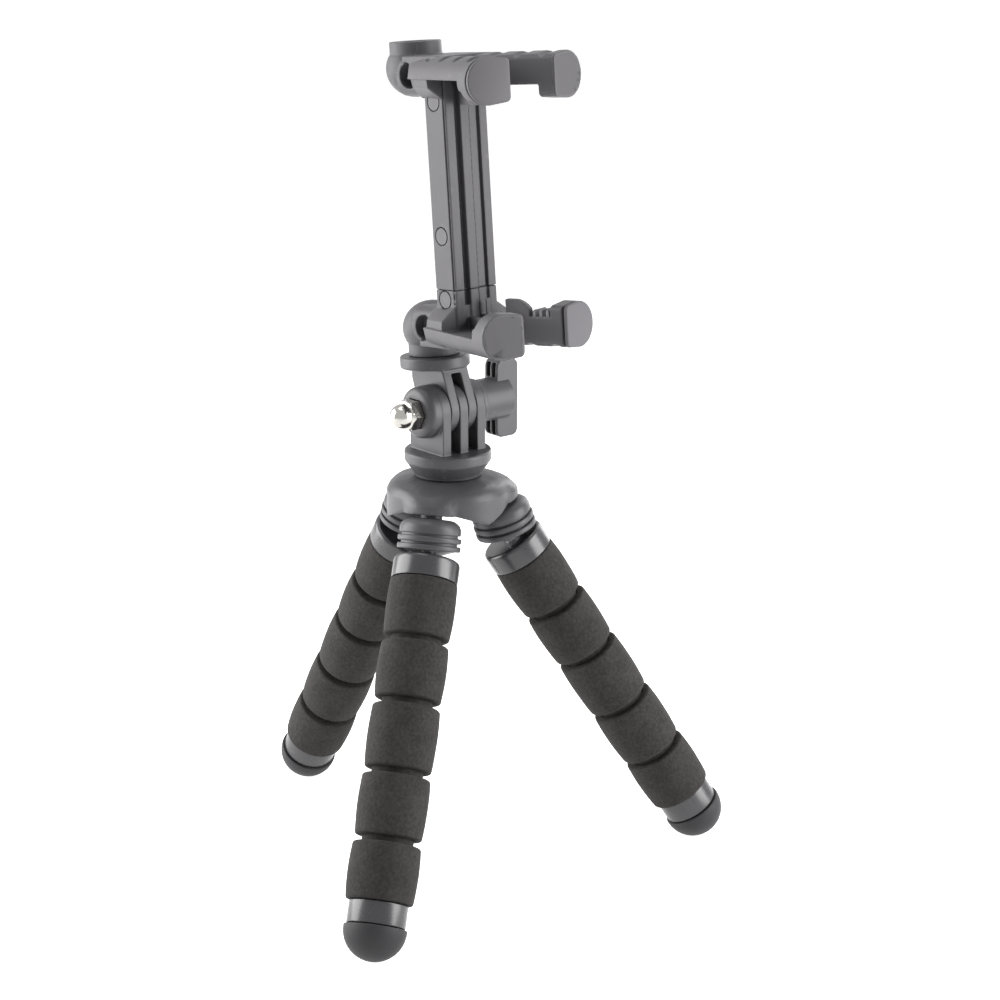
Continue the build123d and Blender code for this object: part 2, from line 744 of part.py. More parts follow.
def headed_pins(height, reach, gap=0.0, over=0.0):
    """Pins into the spine from both sides, with flush heads; with a gap, the holes for them."""
    with BuildPart() as pins:
        for side in (-1, 1):
            for radius, depth in ((pin_radius, reach), (pin_head_radius, pin_head)):
                with BuildSketch(placed(clamp, Plane.YZ.offset(side * (spine_half_width + over)))):
                    with Locations((spring_y, height)):
                        Circle(radius + gap)
                extrude(amount=-side * (depth + gap + over))
    return pins.part


def arm_planes(place, side):
    """Two planes at an arm's tip: across it, with X outwards, and along it, with X to the root."""
    splay = radians(arm_splay)
    forward = Vector(side * sin(splay), -cos(splay), 0)
    outward = Vector(side * cos(splay), sin(splay), 0)
    tip = forward * arm_reach
    across = placed(place, Plane(origin=tip, x_dir=outward, z_dir=forward * side))
    inside = tip + outward * (arm_inner - cut_over)
    along = placed(place, Plane(origin=inside, x_dir=forward * -1, z_dir=outward * side))
    return across, along


def shoulder_sketch(place, front, outline):
    """Outline of both shoulders beside the spine, across the jaw."""
    right = [(x, z) for x, z in outline]
    left = [(-x, z) for x, z in reversed(outline)]
    with BuildSketch(placed(place, Plane(origin=(0, front, 0), x_dir=(1, 0, 0), z_dir=(0, -1, 0)))) as sketch:
        with BuildLine():
            Polyline(*right, *left, close=True)
        make_face()
    return sketch.sketch


# One jaw in its place: boss, lobe and core behind, and two arms that splay to hooked tips. The
# arm on +X has the humped wall and the ribbed grip, the other one is plain
def jaw(place, with_stub):
    half_height = (hook_top - arm_under) / 2
    middle = (hook_top + arm_under) / 2
    straight = arm_inner + arm_width - half_height
    hump_end = arm_length - arm_width
    boss_place = placed(place, Plane(origin=(0, screw_offset, 0), x_dir=(1, 0, 0), z_dir=(0, 0, 1)))
    with BuildPart() as body:
        # Arms, flat on the inside and round on the outside, with grooves across their backs
        for side in (-1, 1):
            across = arm_planes(place, side)[0]
            with BuildSketch(across):
                with BuildLine():
                    Polyline((straight, arm_under), (arm_inner, arm_under + arm_taper),
                             (arm_inner, hook_top - arm_taper), (straight, hook_top))
                    ThreePointArc((straight, hook_top), (arm_inner + arm_width, middle),
                                  (straight, arm_under))
                section = make_face()
                fillet(section.vertices().sort_by(Axis.X)[:2], arm_corner)
            extrude(amount=-side * arm_length)
        for side in (-1, 1):
            across, along = arm_planes(place, side)
            with BuildSketch(along):
                with Locations(((hook_length + arm_length) / 2 + cut_over, notch_floor + hook_top)):
                    Rectangle(arm_length - hook_length + 2 * cut_over, 2 * hook_top)
                for index in range(groove_count):
                    groove_x = groove_first + index * groove_pitch
                    with Locations((groove_x, arm_under - groove_radius + groove_depth)):
                        Circle(groove_radius)
            extrude(amount=side * (arm_width + 2 * cut_over), mode=Mode.SUBTRACT)
            # Ledge outside the seat of the grip, and outside the inner wall behind it
            for start, wall in ((ledge_start, seat_width), (seat_end, hump_wall)):
                wall_end = arm_inner + wall
                ledge_end = arm_inner + arm_width - rim_wall
                with BuildSketch(across.offset(-side * start)):
                    with Locations((wall_end + arm_width / 2, rim_height + hook_top / 2)):
                        Rectangle(arm_width, hook_top)
                    with Locations(((wall_end + ledge_end) / 2, ledge_floor + hook_top / 2)):
                        Rectangle(ledge_end - wall_end, hook_top)
                extrude(amount=-side * (arm_length - start), mode=Mode.SUBTRACT)
            # Bed of the grip
            with BuildSketch(along.offset(side * (cut_over + (seat_width - pad_width) / 2))):
                with Locations(((hook_length + hump_foot) / 2, notch_floor - pad_base / 2)):
                    Rectangle(pad_length, pad_base)
            extrude(amount=side * pad_width, mode=Mode.SUBTRACT)
        # Humped wall on the inside of the ribbed arm
        along = arm_planes(place, 1)[1]
        with BuildSketch(along.offset(cut_over)):
            with BuildLine():
                Polyline((hump_foot, notch_floor - cut_over), (hump_foot, hump_foot_top))
                ThreePointArc((hump_foot, hump_foot_top), hump_bend, (hump_crown, hump_top))
                Polyline((hump_crown, hump_top), (hump_end, hump_top), (hump_end, notch_floor - cut_over),
                         (hump_foot, notch_floor - cut_over))
            make_face()
        extrude(amount=hump_wall)
        # Lobe round the boss, core in front of it, and the floor between the arms' roots
        with BuildSketch(placed(place, Plane(origin=(0, screw_offset, 0), x_dir=(1, 0, 0), z_dir=(0, -1, 0)))):
            with BuildLine():
                Polyline((0, arm_under), (lobe_radius_low, arm_under))
                ThreePointArc((lobe_radius_low, arm_under), (lobe_radius_wide, lobe_widest),
                              (lobe_turn_radius, lobe_turn))
                ThreePointArc((lobe_turn_radius, lobe_turn), (lobe_crown_radius, lobe_crown), (0, lobe_top))
                Line((0, lobe_top), (0, arm_under))
            make_face()
        revolve(axis=Axis(boss_place.origin, boss_place.z_dir))
        with BuildSketch(placed(place, Plane(origin=(0, core_back, 0), x_dir=(1, 0, 0), z_dir=(0, -1, 0)))):
            with Locations((0, (arm_under + core_top) / 2)):
                RectangleRounded(2 * core_half_width, core_top - arm_under, core_round)
        extrude(amount=core_back - shoulder_front)
        with BuildSketch(placed(place, Plane.XY.offset(arm_under))):
            with Locations((0, floor_front / 2)):
                RectangleRounded(2 * floor_half_width, -floor_front, floor_round)
        extrude(amount=floor_top - arm_under)
        # Shoulders that fall away on both sides of the spine
        loft(sections=[shoulder_sketch(place, shoulder_front, shoulder_front_outline).face(),
                       shoulder_sketch(place, shoulder_back, shoulder_back_outline).face()])
        with BuildSketch(boss_place):
            Circle(boss_radius)
        extrude(amount=boss_height)
        # Round pockets behind the arms
        for start, depth in ((-2 * core_half_width, 2 * core_half_width - side_pocket_start),
                             (side_pocket_start, 2 * core_half_width - side_pocket_start)):
            with BuildSketch(placed(place, Plane.YZ.offset(start))):
                with Locations((side_pocket_y, side_pocket_height)):
                    Circle(side_pocket_radius)
            extrude(amount=depth, mode=Mode.SUBTRACT)
        # The lower jaw carries the stub of the spine; the upper one takes the end of the sleeve
        if with_stub:
            with BuildSketch(placed(clamp, Plane.XY.offset(lower_jaw_start + arm_under))):
                add(spine_outline.sketch)
            extrude(amount=seam - seam_gap - lower_jaw_start - arm_under)
            with BuildSketch(placed(clamp, Plane.XY.offset(rail_bottom))):
                with Locations((0, hollow_y)):
                    Rectangle(hollow_width, hollow_depth)
            extrude(amount=rail_below_seam, mode=Mode.SUBTRACT)
            add(headed_pins(rail_pin_height, spine_half_width, fit_gap, spine_half_width), mode=Mode.SUBTRACT)
        else:
            with BuildSketch(placed(place, Plane.XY.offset(sleeve_floor - fit_gap))):
                with Locations((0, spine_middle)):
                    Rectangle(2 * (spine_half_width + fit_gap), spine_back - spine_front + 2 * fit_gap)
            extrude(amount=hook_top + cut_over, mode=Mode.SUBTRACT)
        with BuildSketch(boss_place):
            Circle(insert_radius)
        extrude(amount=insert_length + insert_recess, mode=Mode.SUBTRACT)
    return body.part


lower_jaw = jaw(lower_jaw_place, True)
write(lower_jaw, "lower_jaw")
upper_jaw = jaw(upper_jaw_place, False)
write(upper_jaw, "upper_jaw")

for name, place in (("lower", lower_jaw_place), ("upper", upper_jaw_place)):
    # Threaded insert in the jaw's boss
    boss_place = placed(place, Plane(origin=(0, screw_offset, insert_recess), x_dir=(1, 0, 0), z_dir=(0, 0, 1)))
    with BuildPart() as insert:
        with BuildSketch(boss_place):
            Circle(insert_radius)
            Circle(thread_radius + fit_gap, mode=Mode.SUBTRACT)
        extrude(amount=insert_length)
    write(insert.part, f"{name}_insert")

    # Rubber grips on the arms' seats: ribbed on the humped arm, plain on the other
    with BuildPart() as grips:
        for side in (-1, 1):
            along = arm_planes(place, side)[1]
            pad_middle = (hook_length + hump_foot) / 2
            pad_plane = along.offset(side * (cut_over + (seat_width - pad_width) / 2))
            with BuildSketch(pad_plane):
                with Locations((pad_middle, notch_floor - pad_base / 2)):
                    Rectangle(pad_length, pad_base)
                for index in range(fin_count if side > 0 else 0):
                    fin_x = pad_middle + (index - (fin_count - 1) / 2) * fin_pitch
                    with Locations((fin_x, notch_floor + fin_height / 2)):
                        Rectangle(fin_thickness, fin_height)
            extrude(amount=side * pad_width)
    write(grips.part, f"{name}_grips")

# Sleeve of the spine, fast in the upper jaw
with BuildPart() as spine_sleeve:
    with BuildSketch(placed(clamp, Plane.XY.offset(seam))):
        add(spine_outline.sketch)
    extrude(amount=sleeve_end - seam)
    with BuildSketch(placed(clamp, Plane.XY.offset(seam))):
        with Locations((0, hollow_y)):
            Rectangle(hollow_width, hollow_depth)
    extrude(amount=sleeve_end - sleeve_cap - seam, mode=Mode.SUBTRACT)
    for height, reach in ((spring_pin_height, spine_half_width), (stop_pin_height, stop_pin_reach)):
        add(headed_pins(height, reach, fit_gap, spine_half_width), mode=Mode.SUBTRACT)
write(spine_sleeve.part, "spine_sleeve")

# Rail, fast in the lower jaw's stub: a channel open at the back, slotted for the stop pins
with BuildPart() as slide_rail:
    with BuildSketch(placed(clamp, Plane.XY.offset(rail_bottom))):
        with Locations((0, hollow_y)):
            Rectangle(hollow_width - 2 * slide_gap, hollow_depth - 2 * slide_gap)
        with Locations((0, hollow_y + rail_wall)):
            Rectangle(hollow_width - 2 * slide_gap - 2 * rail_wall, hollow_depth - 2 * slide_gap,
                      mode=Mode.SUBTRACT)
    extrude(amount=rail_top - rail_bottom)
    with BuildSketch(placed(clamp, Plane.YZ.offset(-spine_half_width))):
        with Locations((spring_y, rail_pin_height)):
            Circle(pin_radius + fit_gap)
        with Locations((spring_y, stop_pin_height + travel / 2)):
            Rectangle(2 * pin_radius + 2 * slide_gap, travel + 2 * pin_radius + 2 * slide_gap)
    extrude(amount=2 * spine_half_width, mode=Mode.SUBTRACT)
write(slide_rail.part, "slide_rail")

# Cross pin through stub and rail, and the sleeve's pins: the springs' upper anchor and the
# short stops that run in the rail's slots
write(headed_pins(rail_pin_height, spine_half_width), "rail_pin")
with BuildPart() as sleeve_pins:
    for height, reach in ((spring_pin_height, spine_half_width), (stop_pin_height, stop_pin_reach)):
        add(headed_pins(height, reach))
write(sleeve_pins.part, "sleeve_pins")

# Two pull springs between the rail pin and the spring pin
spring_start = rail_pin_height + pin_radius
with BuildPart() as clamp_springs:
    with BuildSketch(placed(clamp, Plane.XY.offset(spring_start))):
        for side in (-1, 1):
            with Locations((side * spring_half_pitch, spring_y)):
                Circle(spring_radius)
                Circle(spring_radius - spring_wire, mode=Mode.SUBTRACT)
    extrude(amount=spring_pin_height - pin_radius - spring_start)
write(clamp_springs.part, "clamp_springs")
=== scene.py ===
# %% [markdown]
# # A phone tripod with bendable foam legs
#
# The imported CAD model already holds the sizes, the joints and the plain shape of each piece.
# This lesson dresses it: each piece gets the soft edges, the small forms and the finish that
# the real one shows, and it stays in the place that the CAD model gives it.

# %% Load the fixed frame
import json
import math

import bmesh
import bpy
from mathutils import Matrix, Vector, noise
from mathutils.kdtree import KDTree


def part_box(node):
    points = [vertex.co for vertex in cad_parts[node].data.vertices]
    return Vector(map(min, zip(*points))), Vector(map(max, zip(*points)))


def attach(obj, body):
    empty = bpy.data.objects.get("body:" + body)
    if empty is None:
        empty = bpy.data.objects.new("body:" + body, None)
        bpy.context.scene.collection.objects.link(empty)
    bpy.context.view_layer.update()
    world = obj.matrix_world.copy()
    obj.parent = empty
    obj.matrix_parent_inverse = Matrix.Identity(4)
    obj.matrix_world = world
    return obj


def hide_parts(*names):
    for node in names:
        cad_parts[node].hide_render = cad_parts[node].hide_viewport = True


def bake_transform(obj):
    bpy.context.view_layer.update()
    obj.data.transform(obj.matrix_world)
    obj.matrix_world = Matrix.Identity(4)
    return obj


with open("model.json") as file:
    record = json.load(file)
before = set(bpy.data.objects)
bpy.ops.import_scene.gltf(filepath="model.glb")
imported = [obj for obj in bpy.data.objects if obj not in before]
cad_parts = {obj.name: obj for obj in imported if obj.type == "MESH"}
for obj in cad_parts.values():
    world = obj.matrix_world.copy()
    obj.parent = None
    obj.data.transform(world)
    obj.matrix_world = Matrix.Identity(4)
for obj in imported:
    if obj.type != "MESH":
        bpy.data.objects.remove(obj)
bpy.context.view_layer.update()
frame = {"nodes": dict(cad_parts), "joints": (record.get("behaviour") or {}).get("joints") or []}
MM = 0.001

# %% [markdown]
# ## The camera
#
# The photograph was taken from the left and a little above, from less than a metre away. A
# camera was fitted to points of the object, and its place, turn and lens are written here as
# plain numbers. A camera looks along its own -Z, so its matrix is built from the three
# directions: right, up and backwards.

# %% Place the camera
VIEW_BEARING = math.radians(-39.28)
VIEW_PITCH = math.radians(16.16)
VIEW_YAW = math.radians(1.264)
VIEW_ROLL = math.radians(0.057)
VIEW_DISTANCE = 0.6778
VIEW_HEIGHT = 0.3057
FOCAL_SHARE = 2.446
SENSOR = 36.0

towards = Vector((math.sin(VIEW_BEARING), -math.cos(VIEW_BEARING), 0))
level_right = Vector((math.cos(VIEW_BEARING), math.sin(VIEW_BEARING), 0))
UP = Vector((0, 0, 1))
ahead = -towards * math.cos(VIEW_YAW) + level_right * math.sin(VIEW_YAW)
right = level_right * math.cos(VIEW_YAW) + towards * math.sin(VIEW_YAW)
forward = ahead * math.cos(VIEW_PITCH) - UP * math.sin(VIEW_PITCH)
above = ahead * math.sin(VIEW_PITCH) + UP * math.cos(VIEW_PITCH)
cam_right = right * math.cos(VIEW_ROLL) + above * math.sin(VIEW_ROLL)
cam_up = above * math.cos(VIEW_ROLL) - right * math.sin(VIEW_ROLL)

camera_data = bpy.data.cameras.new("photo_camera")
camera_data.sensor_width = SENSOR
camera_data.lens = SENSOR * FOCAL_SHARE
camera = bpy.data.objects.new("photo_camera", camera_data)
bpy.context.scene.collection.objects.link(camera)
axes = Matrix((cam_right, cam_up, -forward)).transposed().to_4x4()
camera.matrix_world = Matrix.Translation(towards * VIEW_DISTANCE + UP * VIEW_HEIGHT) @ axes
bpy.context.scene.camera = camera
print("camera at", [round(part, 3) for part in camera.matrix_world.translation])

# %% [markdown]
# ## The studio
#
# The object stands on white paper between large soft lamps. Black plastic is drawn by what it
# mirrors more than by its colour, so the lamps are large sheets: one on each side for the
# upright highlights on the ferrules, a weaker one overhead and one on the far side. Paper that
# shows white through light alone would need so much of it that the object would wash out. So
# the camera, mirrors and glass see a plain white, and the object gets its light from the lamps.

# %% Set up world and lamps
scene = bpy.context.scene
scene.view_settings.view_transform = "Standard"
AMBIENT = 0.14
BACKDROP_WHITE = 1.0

world = bpy.data.worlds.new("studio")
scene.world = world
world.use_nodes = True
nodes, links = world.node_tree.nodes, world.node_tree.links
background = nodes["Background"]
background.inputs["Color"].default_value = (1, 1, 1, 1)


def seen_directly(tree):
    """One for the rays that look at a backdrop: from the camera, a mirror or glass."""
    path = tree.nodes.new("ShaderNodeLightPath")
    sums = [tree.nodes.new("ShaderNodeMath") for _ in range(2)]
    for total in sums:
        total.operation = "MAXIMUM"
    tree.links.new(path.outputs["Is Camera Ray"], sums[0].inputs[0])
    tree.links.new(path.outputs["Is Glossy Ray"], sums[0].inputs[1])
    tree.links.new(path.outputs["Is Transmission Ray"], sums[1].inputs[0])
    tree.links.new(sums[0].outputs[0], sums[1].inputs[1])
    return sums[1].outputs[0]


strength = nodes.new("ShaderNodeMapRange")
strength.inputs["To Min"].default_value = AMBIENT
strength.inputs["To Max"].default_value = BACKDROP_WHITE
links.new(seen_directly(world.node_tree), strength.inputs["Value"])
links.new(strength.outputs["Result"], background.inputs["Strength"])

LAMPS = {
    "left_sheet": ((-0.42, 0.46, 0.24), (0.60, 0.70), 8.6),
    "right_sheet": ((0.36, -0.50, 0.24), (0.40, 0.60), 5.6),
    "top_sheet": ((0.0, 0.05, 0.78), (0.40, 0.40), 1.6),
    "far_sheet": ((0.62, 0.20, 0.30), (0.26, 0.60), 1.6),
}
LAMP_AIM = Vector((0, 0, 0.12))
for name, (place, size, watts) in LAMPS.items():
    data = bpy.data.lights.new(name, "AREA")
    data.shape = "RECTANGLE"
    data.size, data.size_y = size
    data.energy = watts
    lamp = bpy.data.objects.new(name, data)
    scene.collection.objects.link(lamp)
    lamp.location = place
    lamp.rotation_euler = (LAMP_AIM - Vector(place)).to_track_quat("-Z", "Y").to_euler()
print("lamps:", ", ".join(LAMPS))

# %% [markdown]
# ## Finishes
#
# Several finishes share the same small effects, so each effect is a node group that is built
# once: a fine moulded grain, the pale wear of an edge, and the open cells of foam. A group
# hands out only colours, masks and heights. The shader stays in each material, and numbers
# that are the same all over are set on the shader itself.

# %% Helpers for node groups
def new_group(name, inputs, outputs):
    """A node group with named sockets; inputs give their default values."""
    group = bpy.data.node_groups.new(name, "ShaderNodeTree")
    for socket, kind, default in inputs:
        item = group.interface.new_socket(name=socket, in_out="INPUT", socket_type=kind)
        item.default_value = default
    for socket, kind in outputs:
        group.interface.new_socket(name=socket, in_out="OUTPUT", socket_type=kind)
    return group, group.nodes.new("NodeGroupInput"), group.nodes.new("NodeGroupOutput")


def wire(tree, source, sink):
    tree.links.new(source, sink)


FLOAT, COLOUR = "NodeSocketFloat", "NodeSocketColor"

# %% The grain of a mould
FINE_GRAIN = 2600.0
BROAD_GRAIN = 120.0
grain_group, given, result = new_group(
    "moulded_grain",
    [("Scale", FLOAT, 1.0), ("Depth", FLOAT, 1.0), ("Sheen Low", FLOAT, 0.4), ("Sheen High", FLOAT, 0.5)],
    [("Height", FLOAT), ("Roughness", FLOAT)],
)
add = grain_group.nodes.new
place = add("ShaderNodeTexCoord")
fine = add("ShaderNodeTexNoise")
fine.inputs["Detail"].default_value = 2.0
fine_scale = add("ShaderNodeMath")
fine_scale.operation = "MULTIPLY"
fine_scale.inputs[1].default_value = FINE_GRAIN
broad = add("ShaderNodeTexNoise")
broad.inputs["Scale"].default_value = BROAD_GRAIN
broad.inputs["Detail"].default_value = 3.0
height = add("ShaderNodeMath")
height.operation = "MULTIPLY"
sheen = add("ShaderNodeMapRange")
wire(grain_group, given.outputs["Scale"], fine_scale.inputs[0])
wire(grain_group, place.outputs["Object"], fine.inputs["Vector"])
wire(grain_group, fine_scale.outputs[0], fine.inputs["Scale"])
wire(grain_group, place.outputs["Object"], broad.inputs["Vector"])
wire(grain_group, fine.outputs["Fac"], height.inputs[0])
wire(grain_group, given.outputs["Depth"], height.inputs[1])
wire(grain_group, broad.outputs["Fac"], sheen.inputs["Value"])
wire(grain_group, given.outputs["Sheen Low"], sheen.inputs["To Min"])
wire(grain_group, given.outputs["Sheen High"], sheen.inputs["To Max"])
wire(grain_group, height.outputs[0], result.inputs["Height"])
wire(grain_group, sheen.outputs["Result"], result.inputs["Roughness"])

# %% [markdown]
# Handling polishes and pales the edges of black plastic. Blender's pointiness value is high
# on edges and low in corners, so a narrow ramp of it marks the edges, and a noise breaks the
# mark up so that it doesn't look drawn.

# %% The wear of an edge
EDGE_STARTS, EDGE_FULL = 0.515, 0.60
WEAR_PATCHES = 300.0
wear_group, given, result = new_group(
    "edge_wear",
    [("Base", COLOUR, (0.1, 0.1, 0.1, 1)), ("Worn", COLOUR, (0.3, 0.3, 0.3, 1)), ("Amount", FLOAT, 0.5)],
    [("Color", COLOUR)],
)
add = wear_group.nodes.new
shape = add("ShaderNodeNewGeometry")
edge = add("ShaderNodeMapRange")
edge.inputs["From Min"].default_value = EDGE_STARTS
edge.inputs["From Max"].default_value = EDGE_FULL
patches = add("ShaderNodeTexNoise")
patches.inputs["Scale"].default_value = WEAR_PATCHES
place = add("ShaderNodeTexCoord")
broken = add("ShaderNodeMath")
broken.operation = "MULTIPLY"
share = add("ShaderNodeMath")
share.operation = "MULTIPLY"
paint = add("ShaderNodeMix")
paint.data_type = "RGBA"
wire(wear_group, shape.outputs["Pointiness"], edge.inputs["Value"])
wire(wear_group, place.outputs["Object"], patches.inputs["Vector"])
wire(wear_group, edge.outputs["Result"], broken.inputs[0])
wire(wear_group, patches.outputs["Fac"], broken.inputs[1])
wire(wear_group, broken.outputs[0], share.inputs[0])
wire(wear_group, given.outputs["Amount"], share.inputs[1])
wire(wear_group, share.outputs[0], paint.inputs["Factor"])
wire(wear_group, given.outputs["Base"], paint.inputs["A"])
wire(wear_group, given.outputs["Worn"], paint.inputs["B"])
wire(wear_group, paint.outputs["Result"], result.inputs["Color"])

# %% [markdown]
# Cut foam shows open cells as a fine roughness, with paler and darker clouds over it. Two
# noises of different size are added up and mix a dark and a light tone.

# %% The cells of foam
FOAM_CELLS = 1400.0
CLOUDS = 160.0
SPECKS = 1100.0
CLOUD_SPREAD = (0.75, 1.25)
FOAM_SHEEN = (0.82, 0.96)
foam_group, given, result = new_group(
    "foam_cells",
    [("Dark", COLOUR, (0.02, 0.02, 0.02, 1)), ("Light", COLOUR, (0.06, 0.06, 0.06, 1)),
     ("Cells", FLOAT, FOAM_CELLS)],
    [("Color", COLOUR), ("Height", FLOAT), ("Roughness", FLOAT)],
)
add = foam_group.nodes.new
place = add("ShaderNodeTexCoord")
cells = add("ShaderNodeTexVoronoi")
cells.inputs["Randomness"].default_value = 1.0
cloud = add("ShaderNodeTexNoise")
cloud.inputs["Scale"].default_value = CLOUDS
cloud.inputs["Detail"].default_value = 5.0
cloud.inputs["Roughness"].default_value = 0.65
speck = add("ShaderNodeTexNoise")
speck.inputs["Scale"].default_value = SPECKS
speck.inputs["Detail"].default_value = 2.0
sum_up = add("ShaderNodeMath")
sum_up.operation = "ADD"
spread = add("ShaderNodeMapRange")
spread.inputs["From Min"].default_value, spread.inputs["From Max"].default_value = CLOUD_SPREAD
shade = add("ShaderNodeMix")
shade.data_type = "RGBA"
rough = add("ShaderNodeMapRange")
rough.inputs["To Min"].default_value, rough.inputs["To Max"].default_value = FOAM_SHEEN
wire(foam_group, place.outputs["Object"], cells.inputs["Vector"])
wire(foam_group, given.outputs["Cells"], cells.inputs["Scale"])
wire(foam_group, place.outputs["Object"], cloud.inputs["Vector"])
wire(foam_group, place.outputs["Object"], speck.inputs["Vector"])
wire(foam_group, cloud.outputs["Fac"], sum_up.inputs[0])
wire(foam_group, speck.outputs["Fac"], sum_up.inputs[1])
wire(foam_group, sum_up.outputs[0], spread.inputs["Value"])
wire(foam_group, spread.outputs["Result"], shade.inputs["Factor"])
wire(foam_group, given.outputs["Dark"], shade.inputs["A"])
wire(foam_group, given.outputs["Light"], shade.inputs["B"])
wire(foam_group, shade.outputs["Result"], result.inputs["Color"])
wire(foam_group, cells.outputs["Distance"], result.inputs["Height"])
wire(foam_group, cloud.outputs["Fac"], rough.inputs["Value"])
wire(foam_group, rough.outputs["Result"], result.inputs["Roughness"])
print("effects:", ", ".join(group.name for group in bpy.data.node_groups))

# %% [markdown]
# The plastics and rubbers come from one recipe: the grain feeds the roughness and a bump, and
# the wear feeds the colour. They differ in how dark they are and how they shine. The metals take
# the same recipe with a shallower, broader grain, as the marks of turning and plating.

# %% Helpers for materials
GRAIN_DEPTH = 0.05 * MM
CELL_DEPTH = 0.15 * MM


def plain_material(name):
    """A material with its shader ready to set."""
    material = bpy.data.materials.new(f"{name}_finish")
    material.use_nodes = True
    return material, material.node_tree, material.node_tree.nodes["Principled BSDF"]


def add_bump(tree, height, shader, strength, distance):
    bump = tree.nodes.new("ShaderNodeBump")
    bump.inputs["Strength"].default_value = strength
    bump.inputs["Distance"].default_value = distance
    wire(tree, height, bump.inputs["Height"])
    wire(tree, bump.outputs["Normal"], shader.inputs["Normal"])


def moulded_material(name, base, worn, sheen, wear=0.5, grain=1.0, bump=0.25, specular=0.5, metal=0.0):
    """Grained plastic, rubber or metal whose edges pale with use."""
    material, tree, shader = plain_material(name)
    shader.inputs["Specular IOR Level"].default_value = specular
    shader.inputs["Metallic"].default_value = metal
    grain_node = tree.nodes.new("ShaderNodeGroup")
    grain_node.node_tree = grain_group
    grain_node.inputs["Scale"].default_value = grain
    grain_node.inputs["Sheen Low"].default_value = sheen[0]
    grain_node.inputs["Sheen High"].default_value = sheen[1]
    wear_node = tree.nodes.new("ShaderNodeGroup")
    wear_node.node_tree = wear_group
    wear_node.inputs["Base"].default_value = (*base, 1)
    wear_node.inputs["Worn"].default_value = (*worn, 1)
    wear_node.inputs["Amount"].default_value = wear
    wire(tree, wear_node.outputs["Color"], shader.inputs["Base Color"])
    wire(tree, grain_node.outputs["Roughness"], shader.inputs["Roughness"])
    add_bump(tree, grain_node.outputs["Height"], shader, bump, GRAIN_DEPTH)
    return material


# %% Plastics and rubbers
head_plastic = moulded_material("head_plastic", (0.066, 0.064, 0.069), (0.15, 0.148, 0.155), (0.34, 0.46),
                                specular=0.35)
clamp_plastic = moulded_material("clamp_plastic", (0.105, 0.102, 0.109), (0.20, 0.198, 0.205), (0.40, 0.52),
                                 specular=0.2)
cap_plastic = moulded_material("cap_plastic", (0.128, 0.124, 0.133), (0.20, 0.195, 0.205), (0.52, 0.64),
                               specular=0.3)
gloss_trim = moulded_material("gloss_trim", (0.028, 0.027, 0.030), (0.09, 0.09, 0.095), (0.22, 0.32),
                              wear=0.3, bump=0.06, specular=0.6)
foot_rubber = moulded_material("foot_rubber", (0.026, 0.025, 0.027), (0.06, 0.06, 0.06), (0.50, 0.65),
                               wear=0.6, specular=0.3)
grip_rubber = moulded_material("grip_rubber", (0.24, 0.24, 0.25), (0.36, 0.36, 0.37), (0.55, 0.70),
                               wear=0.3, specular=0.3)
moulded = (head_plastic, clamp_plastic, cap_plastic, gloss_trim, foot_rubber, grip_rubber)
print("plastics and rubbers:", ", ".join(finish.name for finish in moulded))

# %% Metals
nut_nickel = moulded_material("nut_nickel", (0.42, 0.41, 0.385), (0.62, 0.61, 0.58), (0.10, 0.20),
                              grain=0.3, bump=0.02, metal=1.0)
plain_steel = moulded_material("plain_steel", (0.52, 0.52, 0.53), (0.68, 0.68, 0.68), (0.28, 0.42),
                               grain=0.6, bump=0.08, metal=1.0)
core_wire = moulded_material("core_wire", (0.70, 0.70, 0.72), (0.8, 0.8, 0.82), (0.30, 0.45),
                             grain=0.5, bump=0.08, metal=1.0)
insert_brass = moulded_material("insert_brass", (0.62, 0.46, 0.22), (0.75, 0.6, 0.34), (0.22, 0.36),
                                grain=0.5, bump=0.05, metal=1.0)
print("metals:", ", ".join(finish.name for finish in (nut_nickel, plain_steel, core_wire, insert_brass)))

# %% Foam
foam, foam_tree, shader = plain_material("foam")
shader.inputs["Specular IOR Level"].default_value = 0.25
cell_node = foam_tree.nodes.new("ShaderNodeGroup")
cell_node.node_tree = foam_group
cell_node.inputs["Dark"].default_value = (0.0250, 0.0226, 0.0213, 1)
cell_node.inputs["Light"].default_value = (0.0475, 0.0440, 0.0423, 1)
wire(foam_tree, cell_node.outputs["Color"], shader.inputs["Base Color"])
wire(foam_tree, cell_node.outputs["Roughness"], shader.inputs["Roughness"])
add_bump(foam_tree, cell_node.outputs["Height"], shader, 0.5, CELL_DEPTH)
print("foam:", foam.name)

# %% [markdown]
# ## Where things are
#
# The joints of the CAD model say where each leg starts, where it bends and which way it
# runs. The tilt joint and the clamp's turning joint give the clamp's own frame, which leans
# back by five degrees. Pieces are built in millimetres from those places, so nothing is
# fitted by eye.

# %% Read the places of the legs and the clamp
joints = {joint["name"]: joint for joint in frame["joints"]}
LEGS = (1, 2, 3)
SECTIONS = (1, 2, 3, 4, 5)


def joint_place(name):
    return Vector(joints[name]["pos_m"])


def leg_places(leg):
    """Neck of a leg, its downward direction, and its bends in mm below the neck."""
    neck = joint_place(f"leg_{leg}_splay")
    bends = [joint_place(f"leg_{leg}_bend_{bend}") for bend in (1, 2, 3, 4)]
    down = (bends[-1] - neck).normalized()
    return neck, down, [(bend - neck).length / MM for bend in bends]


